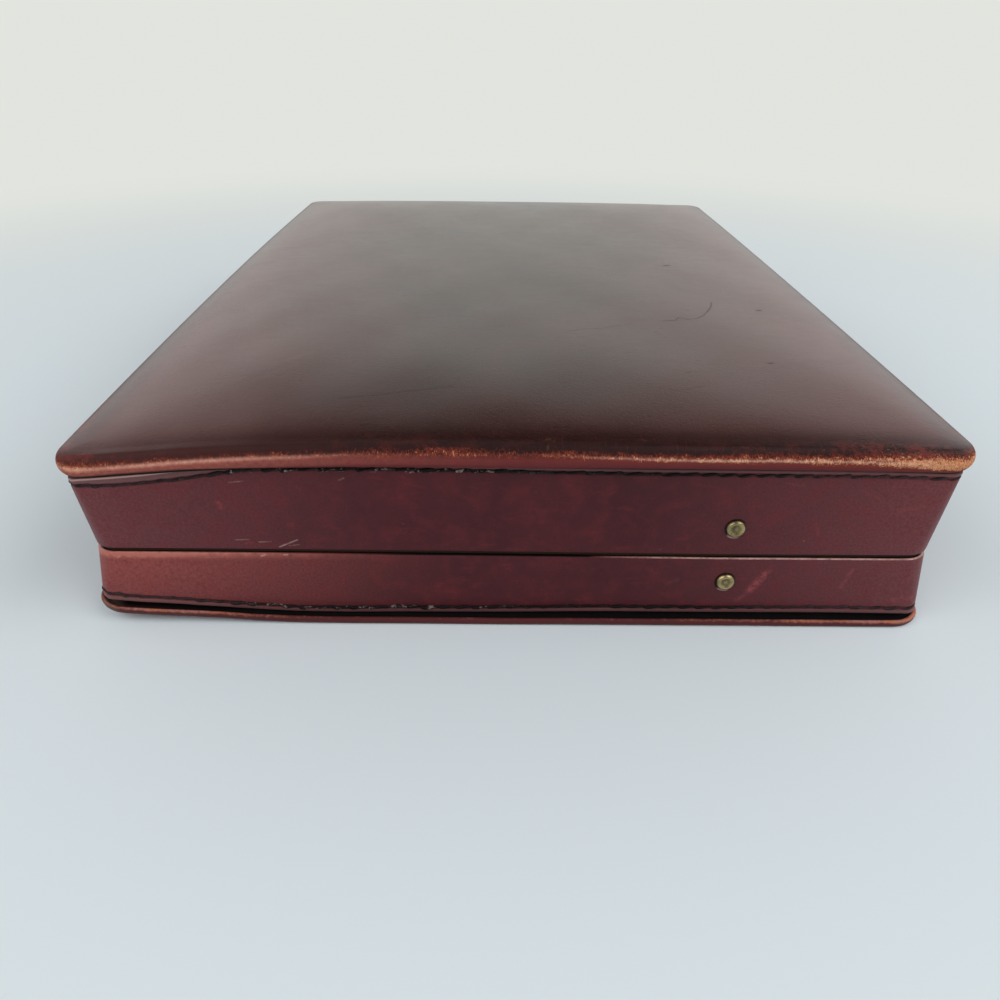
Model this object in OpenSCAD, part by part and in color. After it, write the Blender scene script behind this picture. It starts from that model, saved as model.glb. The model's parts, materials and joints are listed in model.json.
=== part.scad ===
// Leather attache case, lying on its base, closed.
// X runs across the short end, from the handle side (-X) to the hinge side (+X).
// Y runs along the length, Z is up, and the origin is the middle of the underside.

/* [Case] */
// Width across the short end, over the leather walls
case_w = 320; // [300:5:340]
// Length over the leather walls
case_l = 450; // [430:5:480]
// Corner radius of the leather walls, seen from above
corner_r = 9; // [8:0.5:14]
// Height of the parting line between base and lid
parting_z = 32; // [31:0.5:40]
// Gap at the parting line
parting_gap = 1; // [0.8:0.1:1.4]
// Height of the lid's walls, from the parting gap to the rolled edge
lid_wall_h = 36; // [34:0.5:50]

/* [Leather] */
// Thickness of the wall leather
wall_leather_t = 1.8; // [1.4:0.1:2.6]
// Thickness of the leather over the top and the underside
panel_leather_t = 2; // [1.4:0.1:2.4]
// Radius of the rolled edge round the top
roll_r = 4.7; // [4:0.1:6]
// How far the rolled edge stands out from the wall
roll_out = 4.5; // [3:0.1:6]
// Thickness of the lip round the underside
lip_t = 3.8; // [3:0.1:5]
// How far the lip stands out from the wall
lip_out = 4.4; // [3:0.1:6]
// Dark seam between the wall leather and the lip
seam_gap = 0.3; // [0.1:0.1:0.6]

/* [Crown] */
// Rise of the padded top above the rolled edge
crown_h = 5; // [2:0.5:8]
// Distance from the edge over which the top rises
crown_reach = 80; // [50:5:120]
// How much higher the rolled edge is at the middle of a side than at a corner
roll_bow = 1.2; // [0:0.1:2]

/* [Frames] */
// Thickness of the wooden frame behind the wall leather
frame_t = 4; // [3:0.5:6]
// Thickness of the wooden boards
board_t = 3; // [2:0.5:4]
// Thickness of the lining
lining_t = 1; // [0.6:0.1:1.5]
// How far the lining stops short of the parting edge
lining_drop = 1; // [0.5:0.5:4]
// Slack round an inset board or lining
inset_gap = 0.1; // [0.05:0.05:0.3]

/* [Pocket] */
// Distance of the document pocket from the ends of the lid's lining
pocket_end = 18.2; // [10:0.2:40]
// Depth of the pocket across the lid
pocket_w = 230; // [180:10:260]
// Room inside the pocket
pocket_gap = 5.2; // [5:0.1:8]
// Thickness of the pocket's leather
pocket_t = 1.2; // [1:0.1:2]
// Width of the pocket's three sewn edges
pocket_edge = 6; // [4:1:12]

/* [Hinge] */
// Distance of the long hinge from each end of the back
hinge_end = 25; // [20:1:40]
// Thickness of a hinge leaf
leaf_t = 0.8; // [0.6:0.1:1]
// Gap between the closed leaves
leaf_gap = 0.2; // [0.1:0.05:0.4]
// Outer radius of the hinge's knuckles
knuckle_r = 2.2; // [1.8:0.1:3]
// Radius of the hinge pin
hinge_pin_r = 1.2; // [0.8:0.1:1.4]
// Number of knuckles
knuckles = 21; // [11:2:31]
// Number of screws in a leaf
hinge_screws = 10; // [6:1:12]

/* [Lid stays] */
// Distance of the stays' rivets from the middle of the short end
stay_x = 82.4; // [60:0.2:90]
// Height of the lower rivet
stay_base_z = 19.2; // [15:0.2:22]
// Height of the upper rivet
stay_lid_z = 43.7; // [41:0.1:48]
// Width of a stay's link
link_w = 9; // [7:0.5:11]
// Thickness of a stay's link
link_t = 1.2; // [1:0.1:1.6]
// Radius of the stay rivets' shanks
stay_shank_r = 1.6; // [1.2:0.1:2]
// Radius of the rivets' heads outside
stay_head_r = 3.75; // [3:0.05:4.5]

/* [Locks] */
// Distance of each lock from the end of the front
lock_end = 85; // [60:5:105]
// Thickness of the plates of the locks and hasps
plate_t = 1; // [0.8:0.1:1.4]
// Width of a lock plate
lock_w = 40; // [38:1:50]
// Height of a lock plate
lock_h = 21.5; // [21:0.5:23]
// Distance of a lock plate's upper edge below the parting line
lock_drop = 2; // [1.5:0.5:4]
// Depth of the lock's case in front of its plate
lock_case_d = 3.2; // [3:0.1:5]
// Travel of the lock's button
button_travel = 5; // [3:0.5:5]
// Width of a hasp
hasp_w = 14; // [12:0.5:18]
// Thickness of a hasp
hasp_t = 1.2; // [1:0.1:1.6]
// Height of the hasp's pivot above the parting line
hasp_pivot_h = 12; // [11:0.5:16]

/* [Handle] */
// Distance from the middle of the front to each end of the handle
handle_y = 62; // [55:1:75]
// Height of the handle's pivot
handle_z = 16.5; // [16:0.5:18]
// Distance of the handle's pivot from the wall
handle_stand = 9; // [9:0.5:12]
// Reach from the pivot to the middle of the grip
handle_reach = 38; // [34:1:40]
// Radius of the grip at its middle
grip_r = 8; // [7:0.1:8.2]
// Radius of the grip at its ends
grip_end_r = 4.2; // [3.8:0.1:5]
// Radius of the handle's pins
handle_pin_r = 1.5; // [1.2:0.1:1.8]
// How far the resting handle droops, in degrees
handle_droop = 11; // [8:0.5:11.5]

/* [Fasteners] */
// Radius of the small rivets' heads
rivet_head_r = 1.8; // [1.5:0.1:2.2]
// Radius of the small rivets' shanks
rivet_shank_r = 0.9; // [0.7:0.1:1.1]
// Slack round a shank in its hole
hole_gap = 0.05; // [0.03:0.01:0.1]
// Running slack round a pin
run_gap = 0.1; // [0.05:0.05:0.15]
// Clearance between pieces that move past each other
move_gap = 0.3; // [0.3:0.05:0.4]

/* [Hidden] */
$fn = 48;
eps = 0.01;
sides = [-1, 1];

// Heights of the base's and the lid's edges
base_top_z = parting_z - parting_gap / 2;
lid_bottom_z = parting_z + parting_gap / 2;
lid_top_z = lid_bottom_z + lid_wall_h;
board_z = panel_leather_t;
floor_z = board_z + board_t;

// Offsets inwards from the wall's outer face
frame_out = wall_leather_t;
frame_in = frame_out + frame_t;
lining_in = frame_in + lining_t;

// Rolled edge and padded top
roll_c = roll_out - roll_r;
roll_z = lid_top_z + roll_r;
roll_top_z = roll_z + roll_r;
lid_board_z = lid_top_z + panel_leather_t;
lid_board_top_z = lid_board_z + board_t;
shoulder_w = case_w / 2 + roll_c;
shoulder_l = case_l / 2 + roll_c;
crown_rings = 7;
crown_middle = 8;
crown_deepest = case_w / 2 - crown_middle;
nose_steps = 7;
corner_steps = 4;
short_steps = 4;
long_steps = 6;
ring_corner_r = 2;

// Document pocket: its length, its back edge, and the underside of its panel
pocket_l = case_l - 2 * (lining_in + pocket_end);
pocket_inset = 14;
pocket_back_x = case_w / 2 - lining_in - pocket_inset;
pocket_z = lid_board_z - lining_t - pocket_gap - pocket_t;

// Hinge axis, and the recess for a leaf in the frame's edge
hinge_l = case_l - 2 * hinge_end;
wall_gap = 0.2;
hinge_x = case_w / 2 + wall_gap + knuckle_r;
knuckle_l = hinge_l / knuckles;
leaf_low_z = parting_z - leaf_gap / 2 - leaf_t;
leaf_high_z = parting_z + leaf_gap / 2 + leaf_t;
leaf_in_x = case_w / 2 - frame_in;
screw_x = case_w / 2 - frame_out - frame_t / 2;
screw_r = 0.8;
screw_head_r = 1.5;
screw_l = 9;
hinge_head_t = 0.8;

// Stays: depths inwards from the wall's outer face, and the knee that closes the parallelogram
rivet_end_t = 0.6;
knee_head_s = lining_in + move_gap;
base_link_s = knee_head_s + rivet_end_t + run_gap;
lid_link_s = base_link_s + link_t + move_gap;
knee_x = 2 * stay_x - hinge_x;
knee_z = stay_base_z + stay_lid_z - parting_z;
stay_neck_r = 2 * stay_shank_r;
stay_dome_h = 1.5;

// Locks, in the wall's own axes: sideways, up, and out from the wall
lock_y = case_l / 2 - lock_end;
lock_low_z = base_top_z - lock_drop + parting_gap / 2 - lock_h;
lock_mid_z = lock_low_z + lock_h / 2;
lock_corner_r = 3;
case_half_w = lock_w / 2 - 5;
case_low_z = lock_low_z + 1.5;
case_high_z = lock_low_z + lock_h - 1.5;
case_front = plate_t + lock_case_d;
case_skin = 1.2;
case_wall = 1.2;
notch_half_w = 3;
lug_half_w = notch_half_w - 0.4;
lug_low_z = case_high_z - 6;
lug_high_z = case_high_z - 2.2;
slider_low_z = case_low_z + case_wall + 0.3;
slider_h = 5.6;
slider_left = -6;
slider_right = case_half_w - case_wall - move_gap - button_travel;
bolt_gap = 0.8;
bolt_w = 3;
bolt_high_z = lug_high_z - 0.6;
stem_half_w = 4;
stem_h = 3.6;
knob_half_w = 4.6;
knob_h = 4.8;
knob_front = case_front + 2;
hasp_back = case_front + 0.4;
hasp_low_z = slider_low_z + slider_h + 1.2;
hasp_pivot_z = parting_z + hasp_pivot_h;
hasp_knuckle_r = 2.1;
hasp_pivot_out = hasp_back + hasp_t - 0.5 - hasp_knuckle_r;
hasp_pin_r = 0.9;
hasp_knuckle_half = 3;
hasp_pin_half = hasp_w / 2 + 0.3;
hasp_plate_side = 2;
hasp_plate_below = 6;
hasp_plate_above = 12;
hasp_plate_half = hasp_w / 2 + hasp_plate_side;
hasp_plate_low_z = hasp_pivot_z - hasp_plate_below;
hasp_plate_high_z = hasp_pivot_z + hasp_plate_above;
hasp_shoulder_z = hasp_pivot_z - hasp_knuckle_r - 0.7;

// Handle, in the wall's own axes
eye_r = 4;
eye_half_w = 4.5;
ear_t = 1.6;
ear_x = eye_half_w + move_gap;
bracket_t = 1.2;
bracket_half_w = 12;
bracket_below = 8;
bracket_above = 8.5;
bracket_low_z = handle_z - bracket_below;
bracket_high_z = handle_z + bracket_above;
ferrule_r = grip_end_r + 1.2;
ferrule_start = eye_r + 1.5;
ferrule_l = 8;
grip_start = ferrule_start + 1;
grip_bend = ferrule_start + ferrule_l;
grip_power = 2.6;
grip_rings = 24;
grip_sides = 16;
core_r = 1.8;
core_start = grip_start;

// Small rivets: where they go, as sideways and up
rivet_head_h = 0.7;
rivet_depth = frame_in - 1;
lock_rivet_inset = 2.8;
lock_rivets_at = [for (x = sides, z = [lock_low_z + lock_rivet_inset, lock_low_z + lock_h - lock_rivet_inset])
    [x * (lock_w / 2 - lock_rivet_inset), z]];
hasp_rivet_inset = 2.8;
hasp_rivet_drop = 3;
hasp_rivets_at = [for (x = [-1, 0, 1])
    [x * (hasp_plate_half - hasp_rivet_inset), hasp_plate_high_z - hasp_rivet_drop * (2 - abs(x))]];
bracket_rivet_inset = 2.6;
bracket_rivets_at = [for (x = sides, z = [bracket_low_z + bracket_rivet_inset, bracket_high_z - bracket_rivet_inset])
    [x * (bracket_half_w - bracket_rivet_inset), z]];
screws_at = [for (i = [0 : hinge_screws - 1]) (i + 0.5) * hinge_l / hinge_screws - hinge_l / 2];

// Outline of the case, grown by out or shrunk where it is negative
module outline(out) {
    r = max(corner_r + out, 0.5);
    hx = case_w / 2 + out;
    hy = case_l / 2 + out;
    square([2 * (hx - r), 2 * hy], center = true);
    square([2 * hx, 2 * (hy - r)], center = true);
    for (x = sides, y = sides)
        translate([x * (hx - r), y * (hy - r)]) circle(r);
}

// Slab of the case's outline between two heights
module slab(out, low, high) {
    translate([0, 0, low]) linear_extrude(high - low) outline(out);
}

// Band that follows the outline, between two offsets and two heights
module band(outer, inner, low, high) {
    difference() {
        slab(outer, low, high);
        slab(inner, low - 1, high + 1);
    }
}

// Round bead along the outline
module bead(out, r, z) {
    cr = corner_r + out;
    hx = case_w / 2 + out;
    hy = case_l / 2 + out;
    for (s = sides) {
        translate([s * hx, 0, z]) rotate([90, 0, 0]) cylinder(h = 2 * (hy - cr), r = r, center = true);
        translate([0, s * hy, z]) rotate([0, 90, 0]) cylinder(h = 2 * (hx - cr), r = r, center = true);
    }
    for (i = [0 : 3]) {
        sx = (i == 0 || i == 3) ? 1 : -1;
        sy = i < 2 ? 1 : -1;
        translate([sx * (hx - cr), sy * (hy - cr), z]) rotate([0, 0, 90 * i])
            rotate_extrude(angle = 90) translate([cr, 0]) circle(r);
    }
}

// Points of one closed ring round the case, anticlockwise from the +X, +Y corner
function ring_xy(out) =
    let (r = max(corner_r + out, ring_corner_r), cx = case_w / 2 + out - r, cy = case_l / 2 + out - r,
         corners = [[cx, cy], [-cx, cy], [-cx, -cy], [cx, -cy]])
    [for (i = [0 : 3])
        let (from = corners[i] + r * [cos(90 * i + 90), sin(90 * i + 90)],
             to = corners[(i + 1) % 4] + r * [cos(90 * i + 90), sin(90 * i + 90)],
             steps = i % 2 == 0 ? short_steps : long_steps)
        each concat(
            [for (k = [0 : corner_steps - 1])
                corners[i] + r * [cos(90 * i + 90 * k / corner_steps), sin(90 * i + 90 * k / corner_steps)]],
            [for (k = [0 : steps - 1]) from + (to - from) * k / steps])];

// Rise of the rolled edge between the corners, and of the padding towards the middle
function bow(p) = roll_bow * (1 - pow(min(abs(p.x) / shoulder_w, 1), 2) * pow(min(abs(p.y) / shoulder_l, 1), 2));
function ramp(inset) = 1 - pow(1 - min(max(inset / crown_reach, 0), 1), 2);
function crown(p) = crown_h * ramp(shoulder_w - abs(p.x)) * ramp(shoulder_l - abs(p.y));
function lift(p, z, bows, crowns) = [p.x, p.y, z + bows * bow(p) + crowns * crown(p)];

// Skin over stations of [offset, height, share of bow, share of crown], closed to a point at both ends
module skin(stations) {
    rings = [for (s = stations) [for (p = ring_xy(s[0])) lift(p, s[1], s[2], s[3])]];
    n = len(rings[0]);
    last = len(rings) - 1;
    first_s = stations[0];
    last_s = stations[last];
    points = concat([for (ring = rings) each ring],
        [lift([0, 0], first_s[1], first_s[2], first_s[3]), lift([0, 0], last_s[1], last_s[2], last_s[3])]);
    faces = concat(
        [for (j = [0 : n - 1]) [n * (last + 1), (j + 1) % n, j]],
        [for (i = [0 : last - 1], j = [0 : n - 1]) each let (k = (j + 1) % n) [
            [i * n + j, i * n + k, (i + 1) * n + k],
            [i * n + j, (i + 1) * n + k, (i + 1) * n + j]]],
        [for (j = [0 : n - 1]) [n * (last + 1) + 1, last * n + j, last * n + (j + 1) % n]]);
    polyhedron(points, faces);
}

// Stations across the padded top, from the middle to the shoulder, at a height
function top_stations(z) =
    [for (i = [crown_rings : -1 : 0]) [roll_c - crown_deepest * pow(i / crown_rings, 1.6), z, 1, 1]];

// Stations round the rolled edge from one angle to another
function nose_stations(r, from, to, steps) =
    [for (i = [0 : steps]) let (a = from + (to - from) * i / steps)
        [roll_c + r * cos(a), roll_z + r * sin(a), (1 + sin(a)) / 2, 0]];

function reversed(list) = [for (i = [len(list) - 1 : -1 : 0]) list[i]];

// Places on the walls. On the front wall X is sideways, Y is up and Z is out from the leather.
module front_wall(y) {
    translate([-case_w / 2, y, 0]) rotate([90, 0, -90]) children();
}

module lock_place(side) {
    front_wall(side * lock_y) mirror([side > 0 ? 1 : 0, 0, 0]) children();
}

module handle_place(side) {
    front_wall(side * handle_y) children();
}

// One end of the case, modelled at the near end and mirrored to the far end
module end_place(side) {
    mirror([0, side > 0 ? 1 : 0, 0]) translate([0, -case_l / 2, 0]) children();
}

// Axis that runs inwards from the end wall's leather
module end_axis(x, z) {
    translate([x, 0, z]) rotate([-90, 0, 0]) children();
}

module small_rivet(top) {
    translate([0, 0, -rivet_depth]) cylinder(h = rivet_depth + top + eps, r = rivet_shank_r);
    translate([0, 0, top]) cylinder(h = rivet_head_h, r1 = rivet_head_r, r2 = 0.6 * rivet_head_r);
}

module small_rivet_hole() {
    translate([0, 0, -rivet_depth - run_gap]) cylinder(h = rivet_depth + 5, r = rivet_shank_r + hole_gap);
}

// Every small hole in the front wall of the base
module base_front_holes() {
    for (side = sides) {
        lock_place(side) for (p = lock_rivets_at) translate([p.x, p.y, 0]) small_rivet_hole();
        handle_place(side) for (p = bracket_rivets_at) translate([p.x, p.y, 0]) small_rivet_hole();
    }
}

module lid_front_holes() {
    for (side = sides)
        lock_place(side) for (p = hasp_rivets_at) translate([p.x, p.y, 0]) small_rivet_hole();
}

module stay_holes(z) {
    for (side = sides)
        end_place(side) end_axis(stay_x, z)
            translate([0, 0, -1]) cylinder(h = lining_in + 2, r = stay_shank_r + hole_gap);
}

// Recess that a hinge leaf takes in the edges of the back wall
module leaf_recess(low, high) {
    translate([leaf_in_x - 1, -hinge_l / 2 - run_gap, low])
        cube([frame_in + 2, hinge_l + 2 * run_gap, high - low]);
}

// Leather over the underside, with the folded lip that stands out all round
module base_panel() {
    color("#6b3330")
    difference() {
        union() {
            slab(lip_out - lip_t / 2, 0, lip_t);
            bead(lip_out - lip_t / 2, lip_t / 2, lip_t / 2);
        }
        slab(-frame_in, board_z, lip_t + 1);
    }
}

module base_board() {
    color("#b08a5c") slab(-frame_in - inset_gap, board_z, floor_z);
}

module base_frame() {
    color("#b08a5c")
    difference() {
        band(-frame_out, -frame_in, lip_t, base_top_z);
        leaf_recess(leaf_low_z, base_top_z + 1);
        base_front_holes();
        stay_holes(stay_base_z);
        for (y = screws_at)
            translate([screw_x, y, base_top_z - screw_l - 1]) cylinder(h = screw_l + 2, r = screw_r + hole_gap);
    }
}

module base_wall() {
    color("#5a2527")
    difference() {
        band(0, -frame_out, lip_t + seam_gap, base_top_z);
        leaf_recess(leaf_low_z, base_top_z + 1);
        base_front_holes();
        stay_holes(stay_base_z);
    }
}

module base_lining() {
    color("#8a7355")
    difference() {
        union() {
            slab(-frame_in - inset_gap, floor_z, floor_z + lining_t);
            band(-frame_in, -lining_in, floor_z, base_top_z - lining_drop);
        }
        stay_holes(stay_base_z);
    }
}

// Leather over the padded top: it wraps the rolled edge and turns in over the frame
module lid_panel() {
    inner_r = roll_r - panel_leather_t;
    color("#4a2220")
    skin(concat(
        top_stations(roll_top_z),
        nose_stations(roll_r, 90 - 180 / nose_steps, -90, nose_steps - 1),
        [[-frame_in, lid_top_z, 0, 0], [-frame_in, lid_board_z, 0, 0]],
        nose_stations(inner_r, -90, 90 - 180 / nose_steps, nose_steps - 1),
        reversed(top_stations(roll_top_z - panel_leather_t))));
}

// Padding between the board and the leather
module lid_pad() {
    pad_r = roll_r - panel_leather_t - move_gap;
    pad_low_a = asin(min((lid_board_top_z + run_gap - roll_z) / pad_r, 0.9));
    color("#d8c9a0")
    skin(concat(
        top_stations(roll_top_z - panel_leather_t - move_gap),
        nose_stations(pad_r, 70, pad_low_a, 2),
        [[roll_c + pad_r / 2, lid_board_top_z + run_gap, 0, 0],
         [-case_w / 4, lid_board_top_z + run_gap, 0, 0]]));
}

module lid_board() {
    color("#b08a5c") slab(roll_c - inset_gap, lid_board_z, lid_board_top_z);
}

module lid_frame() {
    color("#b08a5c")
    difference() {
        band(-frame_out, -frame_in, lid_bottom_z, lid_top_z);
        leaf_recess(lid_bottom_z - 1, leaf_high_z);
        lid_front_holes();
        stay_holes(stay_lid_z);
        for (y = screws_at)
            translate([screw_x, y, lid_bottom_z - 1]) cylinder(h = screw_l + 2, r = screw_r + hole_gap);
    }
}

module lid_wall() {
    color("#5a2527")
    difference() {
        band(0, -frame_out, lid_bottom_z, lid_top_z - run_gap);
        leaf_recess(lid_bottom_z - 1, leaf_high_z);
        lid_front_holes();
        stay_holes(stay_lid_z);
    }
}

module lid_lining() {
    color("#8a7355")
    difference() {
        union() {
            slab(-frame_in - inset_gap, lid_board_z - lining_t, lid_board_z);
            band(-frame_in, -lining_in, lid_bottom_z + lining_drop, lid_top_z);
            band(-frame_in - inset_gap, -lining_in, lid_top_z - 1, lid_board_z);
        }
        stay_holes(stay_lid_z);
    }
}

// Flat pocket under the lid's lining: a leather panel that is open towards the front
module lid_pocket() {
    color("#6b3330")
    translate([pocket_back_x - pocket_w, -pocket_l / 2, pocket_z]) cube([pocket_w, pocket_l, pocket_t]);
}

// Strips that hold the pocket's three sewn edges to the lid
module pocket_gussets() {
    z = pocket_z + pocket_t;
    side_w = pocket_w - pocket_edge - inset_gap;
    color("#4a2220") {
        translate([pocket_back_x - pocket_edge, -pocket_l / 2, z]) cube([pocket_edge, pocket_l, pocket_gap]);
        for (s = sides)
            translate([pocket_back_x - pocket_w, s * (pocket_l - pocket_edge) / 2 - pocket_edge / 2, z])
                cube([side_w, pocket_edge, pocket_gap]);
    }
}

// One leaf of the long hinge. turn is 0 for the base's knuckles and 1 for the lid's.
module hinge_leaf(low, turn) {
    color("#b5924c")
    difference() {
        union() {
            translate([leaf_in_x, -hinge_l / 2, low])
                cube([frame_in, hinge_l, leaf_t]);
            for (i = [turn : 2 : knuckles - 1])
                translate([0, -hinge_l / 2 + i * knuckle_l + run_gap, 0]) {
                    translate([hinge_x, 0, parting_z]) rotate([-90, 0, 0])
                        cylinder(h = knuckle_l - 2 * run_gap, r = knuckle_r);
                    translate([case_w / 2 - 1, 0, low])
                        cube([hinge_x - case_w / 2 + 1, knuckle_l - 2 * run_gap, leaf_t]);
                }
        }
        translate([hinge_x, 0, parting_z]) rotate([90, 0, 0])
            cylinder(h = hinge_l + 2, r = hinge_pin_r + hole_gap, center = true);
        for (y = screws_at) translate([screw_x, y, low + leaf_t / 2])
            rotate([turn == 0 ? 0 : 180, 0, 0]) screw(hole_gap, eps);
    }
}

// Countersunk screw from the middle of a leaf, pointing down
module screw(slack, over) {
    translate([0, 0, -leaf_t / 2])
        cylinder(h = leaf_t + over, r1 = screw_r + slack, r2 = screw_head_r + slack);
    translate([0, 0, leaf_t / 2 - screw_l]) cylinder(h = screw_l - leaf_t / 2, r = screw_r + slack);
}

module base_hinge_leaf() {
    hinge_leaf(leaf_low_z, 0);
}

module lid_hinge_leaf() {
    hinge_leaf(leaf_high_z - leaf_t, 1);
}

module hinge_pin() {
    color("#8f8f8a")
    translate([hinge_x, 0, parting_z]) rotate([90, 0, 0]) {
        cylinder(h = hinge_l, r = hinge_pin_r, center = true);
        for (s = sides)
            translate([0, 0, s * (hinge_l + hinge_head_t) / 2])
                cylinder(h = hinge_head_t, r = 0.8 * knuckle_r, center = true);
    }
}

module base_hinge_screws() {
    color("#b5924c")
    for (y = screws_at) translate([screw_x, y, leaf_low_z + leaf_t / 2]) screw(0, 0);
}

module lid_hinge_screws() {
    color("#b5924c")
    for (y = screws_at) translate([screw_x, y, leaf_high_z - leaf_t / 2]) rotate([180, 0, 0]) screw(0, 0);
}

// Rivet of a stay: domed head outside, shank, neck against the lining, and an end inside the link
module stay_rivet(link_s) {
    h = stay_dome_h;
    r = stay_head_r;
    inner = link_s + link_t + run_gap;
    rotate_extrude() polygon(concat(
        [[0, -0.6 * h]],
        [for (a = [0 : 15 : 90]) [0.45 * r + 0.15 * r * cos(90 + a), -0.75 * h - 0.25 * h * sin(a + 0)]],
        [for (a = [15 : 15 : 90]) [0.6 * r + 0.4 * r * sin(a), -0.3 * h - 0.7 * h * cos(a)]],
        [[r, 0], [stay_shank_r, 0], [stay_shank_r, lining_in], [stay_neck_r, lining_in],
         [stay_neck_r, link_s - run_gap], [stay_shank_r, link_s - run_gap], [stay_shank_r, inner],
         [stay_neck_r, inner], [stay_neck_r, inner + rivet_end_t], [0, inner + rivet_end_t]]));
}

module base_stay_rivets() {
    color("#a08550")
    for (side = sides) end_place(side) end_axis(stay_x, stay_base_z) stay_rivet(base_link_s);
}

module lid_stay_rivets() {
    color("#a08550")
    for (side = sides) end_place(side) end_axis(stay_x, stay_lid_z) stay_rivet(lid_link_s);
}

// Flat link between two points of the X, Z plane, at a depth from the end wall
module link(from, to, depth, knee_slack) {
    way = to - from;
    translate([from.x, depth, from.y]) rotate([-90, 0, 0]) rotate([0, 0, -atan2(way.y, way.x)])
    difference() {
        union() {
            translate([0, -link_w / 2, 0]) cube([norm(way), link_w, link_t]);
            for (x = [0, norm(way)]) translate([x, 0, 0]) cylinder(h = link_t, r = link_w / 2);
        }
        translate([0, 0, -1]) cylinder(h = link_t + 2, r = stay_shank_r + run_gap);
        translate([norm(way), 0, -1]) cylinder(h = link_t + 2, r = stay_shank_r + knee_slack);
    }
}

module base_link(side) {
    color("#b5924c")
    end_place(side) link([stay_x, stay_base_z], [knee_x, knee_z], base_link_s, hole_gap);
}

module lid_link(side) {
    color("#b5924c")
    end_place(side) link([stay_x, stay_lid_z], [knee_x, knee_z], lid_link_s, 1.5 * run_gap);
}

module knee_rivet(side) {
    color("#8f8f8a")
    end_place(side) end_axis(knee_x, knee_z) {
        translate([0, 0, knee_head_s]) cylinder(h = rivet_end_t, r = stay_neck_r);
        translate([0, 0, knee_head_s]) cylinder(h = lid_link_s + link_t + run_gap - knee_head_s + eps, r = stay_shank_r);
        translate([0, 0, lid_link_s + link_t + run_gap]) cylinder(h = rivet_end_t, r = stay_neck_r);
    }
}

// Plate with round corners, standing on the front wall
module wall_plate(half_w, low, high, t, r) {
    linear_extrude(t) {
        translate([-half_w + r, low]) square([2 * (half_w - r), high - low]);
        translate([-half_w, low + r]) square([2 * half_w, high - low - 2 * r]);
        for (x = sides, y = [low + r, high - r]) translate([x * (half_w - r), y]) circle(r);
    }
}

module lock_plate(side) {
    color("#b5924c")
    lock_place(side) difference() {
        wall_plate(lock_w / 2, lock_low_z, lock_low_z + lock_h, plate_t, lock_corner_r);
        for (p = lock_rivets_at) translate([p.x, p.y, 0]) small_rivet_hole();
    }
}

// Case of the lock: hollow for the slider, a window for its stem, and a notch that is open at the top
module lock_case(side) {
    color("#b5924c")
    lock_place(side) difference() {
        translate([0, 0, plate_t]) wall_plate(case_half_w, case_low_z, case_high_z, lock_case_d, 1.5);
        translate([slider_left - move_gap, case_low_z + case_wall, plate_t - 1])
            cube([case_half_w - case_wall - slider_left + move_gap, bolt_high_z + move_gap - case_low_z - case_wall,
                  lock_case_d - case_skin + 1]);
        translate([-notch_half_w, lug_low_z - move_gap, plate_t - 1])
            cube([2 * notch_half_w, case_high_z - lug_low_z + 1, lock_case_d + 2]);
        translate([-stem_half_w - move_gap, slider_low_z + (slider_h - stem_h) / 2 - move_gap, plate_t])
            cube([2 * (stem_half_w + move_gap) + button_travel, stem_h + 2 * move_gap, lock_case_d + 1]);
    }
}

// Slider with its bolt, stem and ribbed knob
module lock_button(side) {
    stem_z = slider_low_z + slider_h / 2;
    back = plate_t + 0.2;
    slider_t = lock_case_d - case_skin - 0.4;
    ribs = 3;
    color("#c4a25a")
    lock_place(side) {
        translate([slider_left, slider_low_z, back]) cube([slider_right - slider_left, slider_h, slider_t]);
        translate([lug_half_w + bolt_gap, slider_low_z, back])
            cube([bolt_w, bolt_high_z - slider_low_z, slider_t]);
        translate([-stem_half_w, stem_z - stem_h / 2, back]) cube([2 * stem_half_w, stem_h, knob_front - back]);
        translate([0, 0, case_front + 0.3])
            wall_plate(knob_half_w, stem_z - knob_h / 2, stem_z + knob_h / 2, knob_front - case_front - 0.3, 1.2);
        for (i = [0 : ribs - 1])
            translate([(i - (ribs - 1) / 2) * 2 - 0.4, stem_z - knob_h / 2 + 0.6, knob_front - eps])
                cube([0.8, knob_h - 1.2, 0.4]);
    }
}

module lock_rivets() {
    color("#a08550")
    for (side = sides) lock_place(side) for (p = lock_rivets_at) translate([p.x, p.y, 0]) small_rivet(plate_t);
}

// Plate on the lid with the two outer knuckles of the hasp's pivot
module hasp_plate(side) {
    knuckle_w = hasp_w / 2 - hasp_knuckle_half - run_gap;
    color("#b5924c")
    lock_place(side) difference() {
        union() {
            wall_plate(hasp_plate_half, hasp_plate_low_z, hasp_plate_high_z, plate_t, 2.5);
            for (s = sides)
                translate([s * (hasp_knuckle_half + run_gap + knuckle_w / 2), hasp_pivot_z, 0]) {
                    translate([0, 0, hasp_pivot_out]) rotate([0, 90, 0])
                        cylinder(h = knuckle_w, r = hasp_knuckle_r, center = true);
                    translate([-knuckle_w / 2, -hasp_knuckle_r, 0])
                        cube([knuckle_w, 2 * hasp_knuckle_r, hasp_pivot_out]);
                }
        }
        translate([0, hasp_pivot_z, hasp_pivot_out]) rotate([0, 90, 0])
            cylinder(h = hasp_w + 8, r = hasp_pin_r + hole_gap, center = true);
        for (p = hasp_rivets_at) translate([p.x, p.y, 0]) small_rivet_hole();
    }
}

module hasp_pin(side) {
    color("#8f8f8a")
    lock_place(side) translate([0, hasp_pivot_z, hasp_pivot_out]) rotate([0, 90, 0])
        cylinder(h = 2 * hasp_pin_half, r = hasp_pin_r, center = true);
}

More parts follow.
